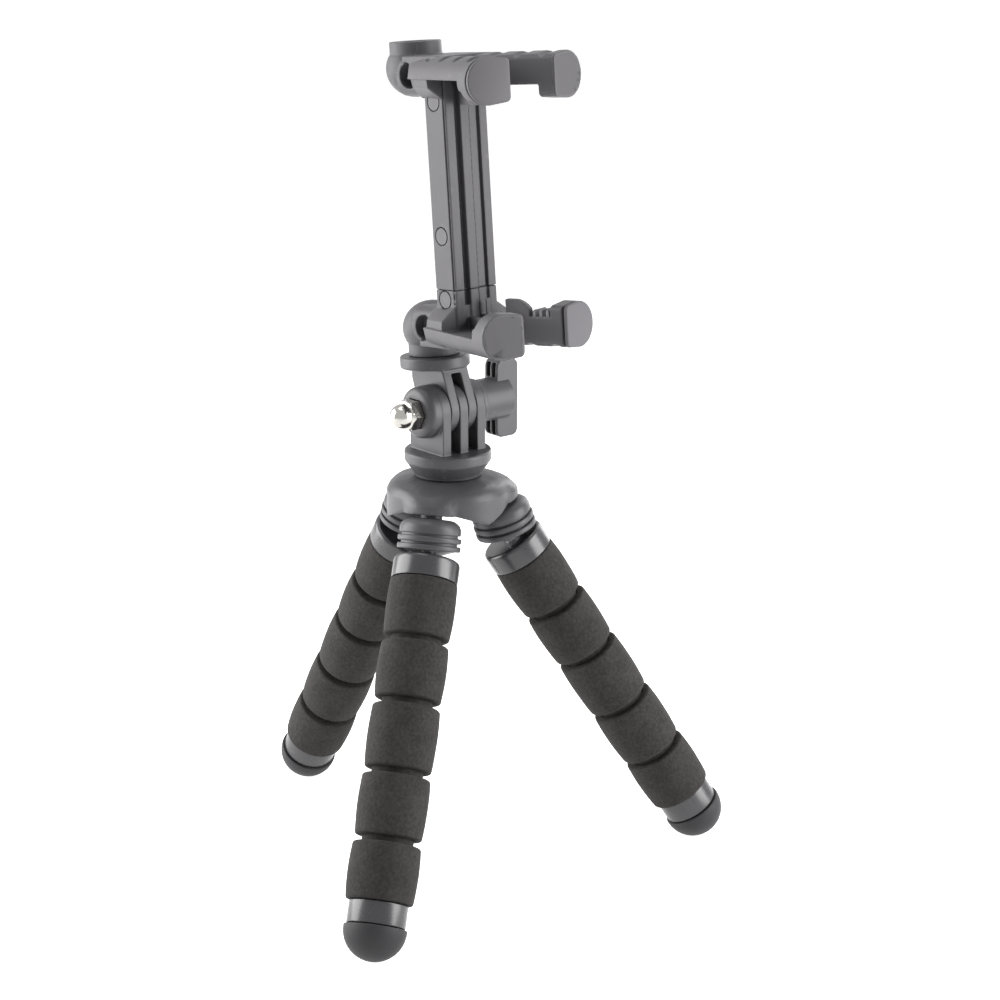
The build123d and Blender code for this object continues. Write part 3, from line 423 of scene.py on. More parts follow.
clamp_up = Vector(joints["clamp_turn"]["axis"]).normalized()
clamp_back = clamp_up.cross(Vector((1, 0, 0)))
CLAMP = Matrix((Vector((1, 0, 0)), clamp_back, clamp_up)).transposed().to_4x4()
CLAMP.translation = joint_place("head_tilt")
LOWER_JAW_HEIGHT = 15.1
UPPER_JAW_HEIGHT = 103.0
LOWER_JAW = CLAMP @ Matrix.Translation((0, 0, LOWER_JAW_HEIGHT * MM))
UPPER_JAW = CLAMP @ Matrix.Translation((0, 0, UPPER_JAW_HEIGHT * MM)) @ Matrix.Rotation(math.pi, 4, "Y")
for leg in LEGS:
    print("leg", leg, "bends in mm below its neck:", [round(bend, 1) for bend in leg_places(leg)[2]])

# %% [markdown]
# ## Showing a piece
#
# Every new piece goes through one function. It gives the mesh its finish and smooth shading,
# lets it ride on its CAD body, and hides the CAD nodes that it stands for.

# %% Helper that places a finished mesh
def show(name, mesh, material, body, stands_for=()):
    """Links a mesh as a piece of the object."""
    piece = bpy.data.objects.new(name, mesh)
    scene.collection.objects.link(piece)
    mesh.materials.clear()
    mesh.materials.append(material)
    for face in mesh.polygons:
        face.use_smooth = True
    if body:
        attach(piece, body)
    if stands_for:
        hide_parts(*stands_for)
    return piece


def sharpen(mesh, degrees=32):
    """Keeps edges sharper than an angle crisp in smooth shading."""
    mesh.set_sharp_from_angle(angle=math.radians(degrees))


# %% [markdown]
# Most new pieces are rows of corners, each row joined to the next by a band of faces. Two
# helpers do that: one lays the bands, and one turns the faces outwards and ends the mesh.

# %% Helpers that make a mesh from rows of corners
def join_rows(form, rows, ends=True):
    """Bands of faces from each row of corners to the next, and one face on each end."""
    for low, high in zip(rows, rows[1:]):
        for step in range(len(low)):
            after = (step + 1) % len(low)
            form.faces.new([low[step], low[after], high[after], high[step]])
    if ends:
        form.faces.new(rows[0])
        form.faces.new(rows[-1])


def finished_mesh(form, name):
    """The form as a mesh, with its faces turned outwards."""
    bmesh.ops.recalc_face_normals(form, faces=form.faces)
    mesh = bpy.data.meshes.new(name)
    form.to_mesh(mesh)
    form.free()
    return mesh


# %% [markdown]
# ## Turned pieces
#
# Ferrules, feet, knuckles and foam sections are round about the leg's axis. Each is an
# outline of distances from the axis and along it, spun in steps. Moulded corners are never
# sharp: a corner is replaced by a short curve, which catches the light as a thin bright line.

# %% Helpers for outlines
def softened(outline, corners, steps=4):
    """The outline with some corners rounded; corners maps a point's index to a size in mm."""
    soft = []
    count = len(outline)
    for index, point in enumerate(outline):
        size = corners.get(index, 0)
        here = Vector(point)
        if not size:
            soft.append(here)
            continue
        before = Vector(outline[index - 1])
        after = Vector(outline[(index + 1) % count])
        start = here + (before - here).normalized() * size
        end = here + (after - here).normalized() * size
        for step in range(steps + 1):
            t = step / steps
            soft.append(start * (1 - t) ** 2 + here * 2 * t * (1 - t) + end * t ** 2)
    return soft


def arc(centre, radius, start, end, steps):
    """Points on an arc, in degrees from outwards towards along the axis."""
    points = []
    for step in range(steps + 1):
        turn = math.radians(start + (end - start) * step / steps)
        points.append((centre[0] + radius * math.cos(turn), centre[1] + radius * math.sin(turn)))
    return points


# %% Helper that spins an outline
ON_AXIS = 1e-4


def turned_mesh(name, outline, origin, direction, around=72, ripple=None):
    """Spins a closed outline of (distance out, distance along) in mm about an axis."""
    across = direction.orthogonal().normalized()
    beside = direction.cross(across)
    form = bmesh.new()
    rings = []
    for out, along in outline:
        if out < ON_AXIS:
            rings.append([form.verts.new(origin + direction * along * MM)])
            continue
        ring = []
        for step in range(around):
            turn = 2 * math.pi * step / around
            outwards = across * math.cos(turn) + beside * math.sin(turn)
            reach = out + (ripple(outwards, out, along) if ripple else 0)
            ring.append(form.verts.new(origin + (outwards * reach + direction * along) * MM))
        rings.append(ring)
    for low, high in zip(rings, rings[1:] + rings[:1]):
        if len(low) == 1 and len(high) == 1:
            continue
        for step in range(around):
            after = (step + 1) % around
            corners = [low[step % len(low)], low[after % len(low)],
                       high[after % len(high)], high[step % len(high)]]
            kept = list(dict.fromkeys(corners))
            if len(kept) > 2:
                form.faces.new(kept)
    return finished_mesh(form, name)


# %% [markdown]
# ## Foam sections
#
# The real leg is one sleeve of black foam over a soft wire, cut almost through by narrow
# grooves. Between two grooves it bulges a little, like a barrel, and its cut edges are
# round. The surface isn't quite true, so a slow ripple moves it in by up to a tenth of a
# millimetre.
# Each section is its own piece, because it rides on its own part of the bending leg.

# %% Build the foam
FOAM_RADIUS = 9.85
FOAM_END_RADIUS = 9.35
FOAM_TOP = 8.1
FOAM_BOTTOM = 98.5
WIRE_BORE = 2.35
BALL_RADIUS = 7.2
SOCKET_RADIUS = 7.5
GROOVE_HALF = 6.5
SOCKET_EDGE = 70
BALL_EDGE = 48
CONE_RADIUS = 2.9
CONE_LENGTH = 1.7
WIDEST = 0.45
BARREL_STEPS = 14
FOAM_ROUND = 0.62
RIPPLE = 0.07
RIPPLE_SINK = 0.6
WAVES_AROUND = 2.2
WAVES_ALONG = 0.16
groove_rise = FOAM_END_RADIUS * math.tan(math.radians(GROOVE_HALF))


def foam_outline(top, bottom, first, last):
    """Outline of one section: socket above, barrel outside, ball below."""
    start = top if first else top + groove_rise
    end = bottom if last else bottom - groove_rise
    outline = [(WIRE_BORE, start)]
    if not first:
        outline = arc((0, top), SOCKET_RADIUS, SOCKET_EDGE, GROOVE_HALF, 10)
    side = []
    for step in range(BARREL_STEPS + 1):
        share = step / BARREL_STEPS
        bulge = 1 - ((share - WIDEST) / (1 - WIDEST)) ** 2
        side.append((FOAM_END_RADIUS + (FOAM_RADIUS - FOAM_END_RADIUS) * max(0, bulge),
                     start + (end - start) * share))
    first_corner = len(outline)
    last_corner = first_corner + len(side) - 1
    outline += side
    if last:
        outline.append((WIRE_BORE, end))
    else:
        outline += arc((0, bottom), BALL_RADIUS, -GROOVE_HALF, BALL_EDGE, 12)
        outline += [(CONE_RADIUS, bottom), (WIRE_BORE, bottom - CONE_LENGTH)]
    edge = min(FOAM_ROUND, (end - start) / BARREL_STEPS * 0.9)
    return softened(outline, {first_corner: edge, last_corner: edge}, steps=5)


def foam_ripple(leg, section):
    """A slow unevenness of the foam's outside, different on each section."""
    def ripple(outwards, out, along):
        if out < BALL_RADIUS + 1:
            return 0
        where = Vector((outwards.x * WAVES_AROUND + leg * 7, outwards.y * WAVES_AROUND + section * 5,
                        along * WAVES_ALONG))
        return RIPPLE * (noise.noise(where) - RIPPLE_SINK)

    return ripple


for leg in LEGS:
    neck, down, bends = leg_places(leg)
    edges = [FOAM_TOP, *bends, FOAM_BOTTOM]
    for section in SECTIONS:
        outline = foam_outline(edges[section - 1], edges[section], section == 1, section == SECTIONS[-1])
        name = f"foam_{leg}_{section}"
        mesh = turned_mesh(name, outline, neck, down, ripple=foam_ripple(leg, section))
        sharpen(mesh, 50)
        piece = show(name, mesh, foam, f"leg_{leg}_section_{section}", [f"leg_{leg}_foam_{section}"])
print("foam sections:", len(LEGS) * len(SECTIONS))

# %% [markdown]
# ## Ferrules and feet
#
# A ferrule closes each end of the foam. They are moulded smooth and shine, so their corners
# have small rounds. The rubber foot has a rim that stands a little proud of its ferrule.

# %% Build ferrules and feet
FERRULE_BORE = 2.3
TOP_RADIUS = 9.5
TOP_START, TOP_END = 1.6, 7.95
STEM_BALL = 2.5
TIP_RADIUS = 8.2
TIP_END = 105.2
TIP_GAP = 0.15
SPIGOT_RADIUS = 5.0
SPIGOT_END = 110.7
FOOT_RADIUS = 8.8
FOOT_CENTRE = 105.85
FOOT_GAP = 0.1
SPIGOT_GAP = 0.05
foot_rim = TIP_END + FOOT_GAP
foot_bore = SPIGOT_RADIUS + SPIGOT_GAP
bore_end = SPIGOT_END + SPIGOT_GAP
for leg in LEGS:
    neck, down, bends = leg_places(leg)
    outline = softened([(FERRULE_BORE, TOP_START), (TOP_RADIUS, TOP_START), (TOP_RADIUS, TOP_END),
                        (FERRULE_BORE, TOP_END)], {1: 1.4, 2: 0.25}, steps=6)
    mesh = turned_mesh(f"top_ferrule_{leg}", outline, neck, down, around=96)
    sharpen(mesh)
    show(f"top_ferrule_{leg}", mesh, gloss_trim, f"leg_{leg}_section_1",
         [f"leg_{leg}_top_ferrule"])

    stem = arc((0, bends[-1]), STEM_BALL, -90, 28, 8)
    collar = [(2.2, 97.8), (7.9, 98.55), (TIP_RADIUS, 98.9), (TIP_RADIUS, TIP_END - TIP_GAP)]
    spigot = [(SPIGOT_RADIUS, TIP_END - TIP_GAP), (SPIGOT_RADIUS, SPIGOT_END), (0, SPIGOT_END)]
    outline = softened([*stem, *collar, *spigot], {len(stem) + 2: 0.3, len(stem) + 3: 0.35})
    mesh = turned_mesh(f"tip_ferrule_{leg}", outline, neck, down, around=96)
    sharpen(mesh)
    show(f"tip_ferrule_{leg}", mesh, gloss_trim, f"leg_{leg}_section_5",
         [f"leg_{leg}_tip_ferrule"])

    dome = arc((0, FOOT_CENTRE), FOOT_RADIUS, 0, 90, 18)
    outline = softened([(foot_bore, foot_rim), (FOOT_RADIUS, foot_rim), *dome[:-1],
                        (0, FOOT_CENTRE + FOOT_RADIUS), (0, bore_end), (foot_bore, bore_end)], {1: 0.3})
    mesh = turned_mesh(f"rubber_foot_{leg}", outline, neck, down, around=96)
    sharpen(mesh)
    show(f"rubber_foot_{leg}", mesh, foot_rubber, f"leg_{leg}_section_5",
         [f"leg_{leg}_foot"])
print("ferrules and feet on", len(LEGS), "legs")

# %% [markdown]
# ## Knuckles
#
# A knuckle is a round cap on a stem in the hub, with two thin rings below it. The rings are
# the ribs of a moulded bellows: round outside, with dark gaps between them.

# %% Build the knuckles
KNUCKLE_TILT = math.radians(18)
CAP_RADIUS = 8.75
RING_RADIUS = 9.05
GAP_RADIUS = 8.0
CUP_RADIUS = 2.9
STEM_RADIUS = 3.0
STEM_TOP = 16.2
for leg in LEGS:
    neck = leg_places(leg)[0]
    bearing = math.atan2(neck.y, neck.x)
    lean = math.sin(KNUCKLE_TILT)
    up = Vector((-lean * math.cos(bearing), -lean * math.sin(bearing), math.cos(KNUCKLE_TILT)))
    cup = arc((0, 0), CUP_RADIUS, 90, 0, 8)
    rings = [(3.9, 0.05), (GAP_RADIUS - 0.4, 1.3), (RING_RADIUS, 1.3), (RING_RADIUS, 2.9), (GAP_RADIUS, 2.9),
             (GAP_RADIUS, 3.6), (RING_RADIUS, 3.6), (RING_RADIUS, 5.2), (GAP_RADIUS, 5.2), (GAP_RADIUS, 5.9),
             (CAP_RADIUS, 5.9), (CAP_RADIUS, 7.5)]
    cap = [(8.35, 8.6), (7.6, 9.4), (6.6, 9.95), (5.4, 10.2), (STEM_RADIUS, 10.25),
           (STEM_RADIUS, STEM_TOP), (0, STEM_TOP)]
    first = len(cup)
    rounds = {first + place: 0.5 for place in (2, 3, 6, 7)}
    rounds[first + 10] = 0.3
    rounds[first + 11] = 0.6
    mesh = turned_mesh(f"knuckle_{leg}", softened([*cup, *rings, *cap], rounds), neck, up, around=96)
    sharpen(mesh)
    show(f"knuckle_{leg}", mesh, head_plastic, "hub", [f"leg_{leg}_knuckle"])
print("knuckles lean by", round(math.degrees(KNUCKLE_TILT)), "degrees")

# %% [markdown]
# ## Moulded housings
#
# The hub, the prongs and the jaws are injection moulded, so they have no sharp edge
# anywhere. Bevelling each edge of a CAD mesh is fragile where small forms meet. Instead the
# CAD solid is copied, small forms are cut into it, and the whole is rebuilt on a fine grid
# of voxels and smoothed. Every edge then gets a radius of about half a millimetre, outside
# and inside corners alike, as a mould would give it. Spare faces are taken out at the end.

# %% Helper that softens a CAD solid into a moulded piece
VOXEL = 0.22 * MM
SMOOTHING = 5
KEPT_FACES = 0.35


def solid_copy(name, node):
    """A free copy of a CAD node, with its seams closed."""
    mesh = frame["nodes"][node].data.copy()
    form = bmesh.new()
    form.from_mesh(mesh)
    bmesh.ops.remove_doubles(form, verts=form.verts, dist=0.001 * MM)
    bmesh.ops.recalc_face_normals(form, faces=form.faces)
    form.to_mesh(mesh)
    form.free()
    piece = bpy.data.objects.new(name, mesh)
    scene.collection.objects.link(piece)
    return piece


def settle(piece):
    """The piece's mesh with its modifiers applied; the helper object goes."""
    depsgraph = bpy.context.evaluated_depsgraph_get()
    depsgraph.update()
    mesh = bpy.data.meshes.new_from_object(piece.evaluated_get(depsgraph))
    mesh.name = piece.name
    bpy.data.objects.remove(piece)
    return mesh


def moulded_mesh(name, node, cutters=(), voxel=VOXEL, smoothing=SMOOTHING, kept=KEPT_FACES):
    """CAD solid with forms cut away, rebuilt with soft edges."""
    piece = solid_copy(name, node)
    for cutter in cutters:
        cut = piece.modifiers.new("cut", "BOOLEAN")
        cut.operation = "DIFFERENCE"
        cut.solver = "MANIFOLD"
        cut.object = cutter
    grid = piece.modifiers.new("grid", "REMESH")
    grid.mode = "VOXEL"
    grid.voxel_size = voxel
    soften = piece.modifiers.new("soften", "SMOOTH")
    soften.factor = 0.5
    soften.iterations = smoothing
    thin = piece.modifiers.new("thin", "DECIMATE")
    thin.ratio = kept
    mesh = settle(piece)
    for cutter in cutters:
        bpy.data.objects.remove(cutter)
    print(f"{name}: {len(mesh.polygons)} faces")
    return mesh


def block(place, low, high):
    """A box between two corners in mm, in a frame, as a cutting form."""
    form = bmesh.new()
    bmesh.ops.create_cube(form, size=1)
    size = Vector(high) - Vector(low)
    middle = (Vector(high) + Vector(low)) / 2
    for vert in form.verts:
        spot = Vector(part * length for part, length in zip(vert.co, size)) + middle
        vert.co = place @ (spot * MM)
    mesh = bpy.data.meshes.new("cutter")
    form.to_mesh(mesh)
    form.free()
    cutter = bpy.data.objects.new("cutter", mesh)
    scene.collection.objects.link(cutter)
    return cutter


# %% [markdown]
# The hub cover is one smooth dome that flows into three lobes, while its lower rim is crisp.
# So its surface is smoothed many times over, and the nearer a point is to the underside, the
# sooner it is left alone. The prongs keep crisper edges.

# %% Build the hub and the tilt joint
MELTING = ((0.8 * MM, 20), (1.6 * MM, 60), (2.6 * MM, 160), (4.0 * MM, 160))


def melted(mesh, rounds):
    """Smooths a mesh away from its underside; rounds are (distance from it, times)."""
    form = bmesh.new()
    form.from_mesh(mesh)
    form.normal_update()
    under = [vert.co.copy() for vert in form.verts if vert.normal.z < -0.5]
    tree = KDTree(len(under))
    for index, spot in enumerate(under):
        tree.insert(spot, index)
    tree.balance()
    away = {vert: tree.find(vert.co)[2] for vert in form.verts}
    for distance, times in rounds:
        chosen = [vert for vert, length in away.items() if length > distance]
        for _ in range(times):
            bmesh.ops.smooth_vert(form, verts=chosen, factor=0.5, use_axis_x=True, use_axis_y=True,
                                  use_axis_z=True)
    form.to_mesh(mesh)
    form.free()
    return mesh


hub_mesh = melted(moulded_mesh("hub_shell", "hub_cover", voxel=0.3 * MM, kept=1.0), MELTING)
show("hub_shell", hub_mesh, head_plastic, "hub", ["hub_cover"])
show("prongs_lower", moulded_mesh("prongs_lower", "prong_base", voxel=0.18 * MM), head_plastic,
     "prong_base", ["prong_base"])
show("prongs_upper", moulded_mesh("prongs_upper", "tilt_head", voxel=0.18 * MM), head_plastic,
     "tilt_head", ["tilt_head"])
show("wing_knob", moulded_mesh("wing_knob", "thumb_knob", voxel=0.18 * MM), head_plastic,
     "thumb_knob", ["thumb_knob"])

# %% [markdown]
# ## The domed nut
#
# A cap nut closes the bolt: a hexagon whose corners are turned off by a cone at each end,
# and a tall dome. Plated metal mirrors everything, so its faces have to be true. It is built
# as turned rings whose distance is held inside the hexagon, which gives the curved line
# where the cone meets each flat.

# %% Sizes of the domed nut
NUT_FLATS = 8.0
NUT_HEX = 5.4
NUT_CONE = 0.55
NUT_SIDE = 4.2
SIDE_STEPS = 10
NUT_BORE = 2.6
NUT_BORE_DEPTH = 6.0
NUT_DOME = 3.5
AROUND_NUT = 144
nut_low, nut_high = (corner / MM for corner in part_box("dome_nut"))
bolt = joint_place("head_tilt")
nut_face = nut_high.x
hex_start = nut_face - NUT_CONE
hex_end = nut_face - NUT_HEX
dome_tip = nut_low.x
hexagon_corner = NUT_FLATS / 2 / math.cos(math.radians(30))


def hexagon_reach(turn):
    """Distance from the axis to a hexagon's side in a direction."""
    sixth = math.radians(60)
    return NUT_FLATS / 2 / math.cos((turn % sixth) - sixth / 2)


print("nut's hexagon is", round(2 * hexagon_corner, 2), "mm across its corners")

# %% Build the domed nut
nut_rings = [(NUT_BORE, nut_face), (3.7, nut_face), (hexagon_corner, hex_start)]
nut_rings += [(hexagon_corner, hex_start - NUT_SIDE * step / SIDE_STEPS) for step in range(1, SIDE_STEPS + 1)]
nut_rings += [(hexagon_corner - 0.3, hex_end + 0.45), (4.05, hex_end + 0.1), (3.75, hex_end)]
nut_rings += [(NUT_DOME, hex_end - 0.12), (NUT_DOME, dome_tip + NUT_DOME)]
nut_rings += [(NUT_DOME * math.cos(math.radians(turn)),
               dome_tip + NUT_DOME - NUT_DOME * math.sin(math.radians(turn)))
              for turn in range(6, 90, 6)]
nut_rings += [(0, dome_tip)]
form = bmesh.new()
rows = []
for out, along in nut_rings:
    if out == 0:
        rows.append([form.verts.new(Vector((along * MM, 0, bolt.z)))])
        continue
    row = []
    for step in range(AROUND_NUT):
        turn = 2 * math.pi * step / AROUND_NUT
        reach = min(out, hexagon_reach(turn)) if along > hex_end - 0.01 else out
        row.append(form.verts.new(Vector((along * MM, reach * MM * math.cos(turn),
                                          bolt.z + reach * MM * math.sin(turn)))))
    rows.append(row)
bore_floor = (nut_face - NUT_BORE_DEPTH) * MM
bore = [form.verts.new(Vector((bore_floor, vert.co.y, vert.co.z))) for vert in rows[0]]
rows.insert(0, bore)
form.faces.new(bore)
for low, high in zip(rows, rows[1:]):
    for step in range(AROUND_NUT):
        after = (step + 1) % AROUND_NUT
        corners = [low[step], low[after], high[after % len(high)], high[step % len(high)]]
        form.faces.new(list(dict.fromkeys(corners)))
mesh = finished_mesh(form, "cap_nut")
sharpen(mesh, 14)
show("cap_nut", mesh, nut_nickel, "prong_base", ["dome_nut"])
print("nut dome reaches x =", round(dome_tip, 1), "mm")

# %% [markdown]
# ## Small forms of the spine
#
# The sleeve slides over a rail. The heads of its pins show on the sides as discs in round
# holes. The holes are widened a little near the surface, which gives the dark ring. Fine
# grooves run down the spine's front. The same forms go on down the stub of the lower jaw.

# %% Helpers for pin rings and fine grooves
def peg(place, centre, radius, start, end):
    """A round bar along X in a frame, in mm, with softened ends."""
    origin = place @ (Vector((start, *centre)) * MM)
    along = (place.to_3x3() @ Vector((1, 0, 0))).normalized()
    length = end - start
    outline = softened([(0, 0), (radius, 0), (radius, length), (0, length)], {1: 0.2, 2: 0.2})
    return turned_mesh("peg", outline, origin, along, around=48)


def as_cutter(mesh):
    cutter = bpy.data.objects.new("cutter", mesh)
    scene.collection.objects.link(cutter)
    return cutter


# %% Places and sizes of the spine's small forms
SPINE_HALF = 7.5
SPINE_FRONT = -16.0
CUT_OVER = 1
LINE_HALF = 0.25
LINE_DEPTH = 1.2
SIDE_LINE = (0.45, 0.95)
SIDE_LINE_DEPTH = 0.5
PAST_SLEEVE = 20
WIDE_GROOVE = (1.1, 4.3)
SEAM_HEIGHT = 35.3
STUB_LINES = 24.0
SHOULDER_TOP = 31.2
PIN_Y = -11.2
PIN_RADIUS = 1.1
PIN_HEAD = 2.3
STOP_PIN = 50.1
SPRING_PIN = 86.8
RAIL_PIN = 32.5
RING_GAP = 0.3
RING_DEPTH = 0.65


def ring_cutters(heights):
    """Shallow round recesses about the pins' heads on both sides of the spine."""
    return [as_cutter(peg(CLAMP, (PIN_Y, height), PIN_HEAD + RING_GAP, start, start + CUT_OVER + RING_DEPTH))
            for height in heights for start in (-SPINE_HALF - CUT_OVER, SPINE_HALF - RING_DEPTH)]


def spine_lines(low, high, side_low):
    """Fine grooves down the spine: one at its left front edge, two beside the wide groove."""
    near, far = (SPINE_FRONT + depth for depth in SIDE_LINE)
    side = block(CLAMP, (-SPINE_HALF - CUT_OVER, near, side_low), (-SPINE_HALF + SIDE_LINE_DEPTH, far, high))
    front = [block(CLAMP, (edge - LINE_HALF, SPINE_FRONT - CUT_OVER, low),
                   (edge + LINE_HALF, SPINE_FRONT + LINE_DEPTH, high)) for edge in WIDE_GROOVE]
    return [side, *front]


print("spine is", 2 * SPINE_HALF, "mm wide")

# %% [markdown]
# ## The jaws
#
# Each arm of a jaw ends in a D-shaped plate that is a shade lighter, with a dark seam behind
# it. The tip of the CAD solid is cut back by a little more than the plate's thickness, the
# plate is built from its outline, and a smaller core behind it makes the seam.

# %% Frames of the four arms
ARM_SPLAY = math.radians(13.3)
ARM_REACH = 45.0
ARM_INNER = -2.7
ARM_OUTER = 9.9
ARM_LOW = 3.8
ARM_HIGH = 16.5
ARM_TAPER = 0.7
ARM_CORNER = 1.4
PLATE = 0.95
SEAM = 0.75
PLATE_CORE = 1.0
PLATE_LEVELS = ((0.0, 0.42), (0.05, 0.26), (0.14, 0.13), (0.28, 0.04), (0.45, 0.0), (PLATE - 0.12, 0.0),
                (PLATE, 0.12), (PLATE, PLATE_CORE), (PLATE + SEAM + 0.4, PLATE_CORE))
TIP_BOX = ((-8, -3, 0), (14, PLATE + SEAM, 20))
WALL_GAP = ((-3.7, 20.6, 12.8), (-0.6, 27.0, 19.0))
JAWS = {"lower": (LOWER_JAW, "clamp"), "upper": (UPPER_JAW, "sliding_jaw")}


def arm_frame(jaw, side):
    """Frame at an arm's tip: X outwards across it, Y back along it, Z up in the jaw's own frame."""
    ahead = Vector((side * math.sin(ARM_SPLAY), -math.cos(ARM_SPLAY), 0))
    outward = Vector((side * math.cos(ARM_SPLAY), math.sin(ARM_SPLAY), 0))
    local = Matrix((outward, -ahead, Vector((0, 0, 1)))).transposed().to_4x4()
    local.translation = ahead * ARM_REACH * MM
    return jaw @ local


def tip_outline(inset=0.0, steps=24):
    """D shape of an arm's tip in mm: flat on the inside, round outside."""
    low, high = ARM_LOW + inset, ARM_HIGH - inset
    radius = (high - low) / 2
    middle = (high + low) / 2
    centre = ARM_OUTER - (ARM_HIGH - ARM_LOW) / 2
    round_side = arc((centre, middle), radius, 90, -90, steps)
    corners = [(ARM_INNER + inset, low + ARM_TAPER), (ARM_INNER + inset, high - ARM_TAPER)]
    size = max(0.5, ARM_CORNER - inset)
    return softened([*round_side, *corners], {len(round_side): size, len(round_side) + 1: size}, steps=6)


def plate_mesh(name, place, levels):
    """Stack of D outlines at depths from the tip: levels are (depth, inset) in mm."""
    form = bmesh.new()
    rows = []
    for depth, inset in levels:
        rows.append([form.verts.new(place @ (Vector((x, depth, z)) * MM)) for x, z in tip_outline(inset)])
    join_rows(form, rows)
    return finished_mesh(form, name)


# %% Build jaws and tip plates
for which, (jaw, body) in JAWS.items():
    cutters = [block(arm_frame(jaw, side), *TIP_BOX) for side in (-1, 1)]
    if which == "lower":
        cutters.append(block(arm_frame(jaw, 1), *WALL_GAP))
        cutters += ring_cutters((RAIL_PIN,)) + spine_lines(STUB_LINES, SEAM_HEIGHT + CUT_OVER, SHOULDER_TOP)
    shell = moulded_mesh(f"{which}_jaw_shell", f"{which}_jaw", cutters)
    show(f"{which}_jaw_shell", shell, clamp_plastic, body, [f"{which}_jaw"])
    for side, hand in ((-1, "left"), (1, "right")):
        mesh = plate_mesh(f"{which}_{hand}_tip_plate", arm_frame(jaw, side), PLATE_LEVELS)
        sharpen(mesh)
        show(f"{which}_{hand}_tip_plate", mesh, cap_plastic, body)

# %% [markdown]
# ## Rubber grips
#
# A grip is a small pad of pale rubber, set in the notch of each arm. On one arm it has three
# soft ribs with round tops, on the other it is plain. Its outline along the arm is drawn once
# and carried across the arm, where the ribs' ends are rounded down.

# %% Sizes and outline of a grip
GRIP_LOW, GRIP_HIGH = -2.15, 3.45
GRIP_MIDDLE = 9.1
GRIP_LENGTH = 6.6
GRIP_FLOOR = 12.5
GRIP_THICKNESS = 0.8
RIB_PITCH = 2.2
RIB_HALF = 0.45
RIB_HEIGHT = 2.0
RIB_FOOT = (0.08, 0.12)
RIB_END = (0.18, 0.22)


def grip_profile(ribs):
    """Outline of a grip along the arm, with ribs at these steps: (place along, height) in mm."""
    start, end = GRIP_MIDDLE - GRIP_LENGTH / 2, GRIP_MIDDLE + GRIP_LENGTH / 2
    top = GRIP_FLOOR + RIB_HEIGHT - RIB_HALF
    foot_width, foot_height = RIB_FOOT
    outline = [(start, GRIP_FLOOR - GRIP_THICKNESS), (start, GRIP_FLOOR)]
    for rib in ribs:
        middle = GRIP_MIDDLE + rib * RIB_PITCH
        first, last = middle - RIB_HALF, middle + RIB_HALF
        outline += [(first - foot_width, GRIP_FLOOR), (first, GRIP_FLOOR + foot_height)]
        outline += arc((middle, top), RIB_HALF, 180, 0, 9)
        outline += [(last, GRIP_FLOOR + foot_height), (last + foot_width, GRIP_FLOOR)]
    return [*outline, (end, GRIP_FLOOR), (end, GRIP_FLOOR - GRIP_THICKNESS)]


# %% Build the grips
end_length, end_drop = RIB_END
GRIP_ROWS = ((GRIP_LOW, end_drop), (GRIP_LOW + end_length, 0),
             (GRIP_HIGH - end_length, 0), (GRIP_HIGH, end_drop))
for which, (jaw, body) in JAWS.items():
    form = bmesh.new()
    for side in (-1, 1):
        place = arm_frame(jaw, side)
        outline = grip_profile((-1, 0, 1) if side > 0 else ())
        rows = []
        for across, drop in GRIP_ROWS:
            row = []
            for along, height in outline:
                level = height - drop if height > GRIP_FLOOR + 1 else height
                row.append(form.verts.new(place @ (Vector((across, along, level)) * MM)))
            rows.append(row)
        join_rows(form, rows)
    mesh = finished_mesh(form, f"{which}_rubber_ribs")
    sharpen(mesh, 40)
    show(mesh.name, mesh, grip_rubber, body, [f"{which}_grips"])
print("grips of", len(JAWS), "jaws")

# %% [markdown]
# ## The spine
#
# The sleeve goes up into the upper jaw, and its rings and grooves are cut as above.

# %% Build the sleeve
cutters = ring_cutters((STOP_PIN, SPRING_PIN))
cutters += spine_lines(SEAM_HEIGHT - CUT_OVER, SPRING_PIN + PAST_SLEEVE, SEAM_HEIGHT - CUT_OVER)
show("sleeve_shell", moulded_mesh("sleeve_shell", "spine_sleeve", cutters, voxel=0.17 * MM, smoothing=4),
     clamp_plastic, "sliding_jaw", ["spine_sleeve"])

# %% [markdown]
# ## Pull springs
#
# Two close-wound springs pull the jaws together. They are drawn as real coils, with one end at a
# pin of each jaw, as one fixed mesh that rides on neither jaw.

# %% Wind the springs
SPRING_X = 1.8
SPRING_RADIUS = 0.95
WIRE_RADIUS = 0.24
TURNS = 64
STEPS_A_TURN = 14
SIDES = 6
coil_steps = TURNS * STEPS_A_TURN
spring_low = RAIL_PIN + PIN_RADIUS
spring_high = SPRING_PIN - PIN_RADIUS
coil_length = spring_high - spring_low - 2 * WIRE_RADIUS
form = bmesh.new()
for side in (-1, 1):
    rows = []
    for step in range(coil_steps + 1):
        turn = 2 * math.pi * step / STEPS_A_TURN
        out = Vector((math.cos(turn), math.sin(turn), 0))
        height = spring_low + WIRE_RADIUS + coil_length * step / coil_steps
        middle = Vector((side * SPRING_X, PIN_Y, height)) + out * SPRING_RADIUS
        row = []
        for part in range(SIDES):
            angle = 2 * math.pi * part / SIDES
            spot = middle + (out * math.cos(angle) + UP * math.sin(angle)) * WIRE_RADIUS
            row.append(form.verts.new(CLAMP @ (spot * MM)))
        rows.append(row)
    join_rows(form, rows)
mesh = finished_mesh(form, "pull_springs")
springs = show("pull_springs", mesh, plain_steel, None, ["clamp_springs"])
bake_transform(springs)
print("spring length in mm:", round(spring_high - spring_low, 1))

# %% [markdown]
# ## Threaded inserts
#
# The boss of each jaw holds a turned brass insert with a screw thread. The thread is a bore
# whose distance from the axis rises and falls once a turn, so its crest runs in a helix.

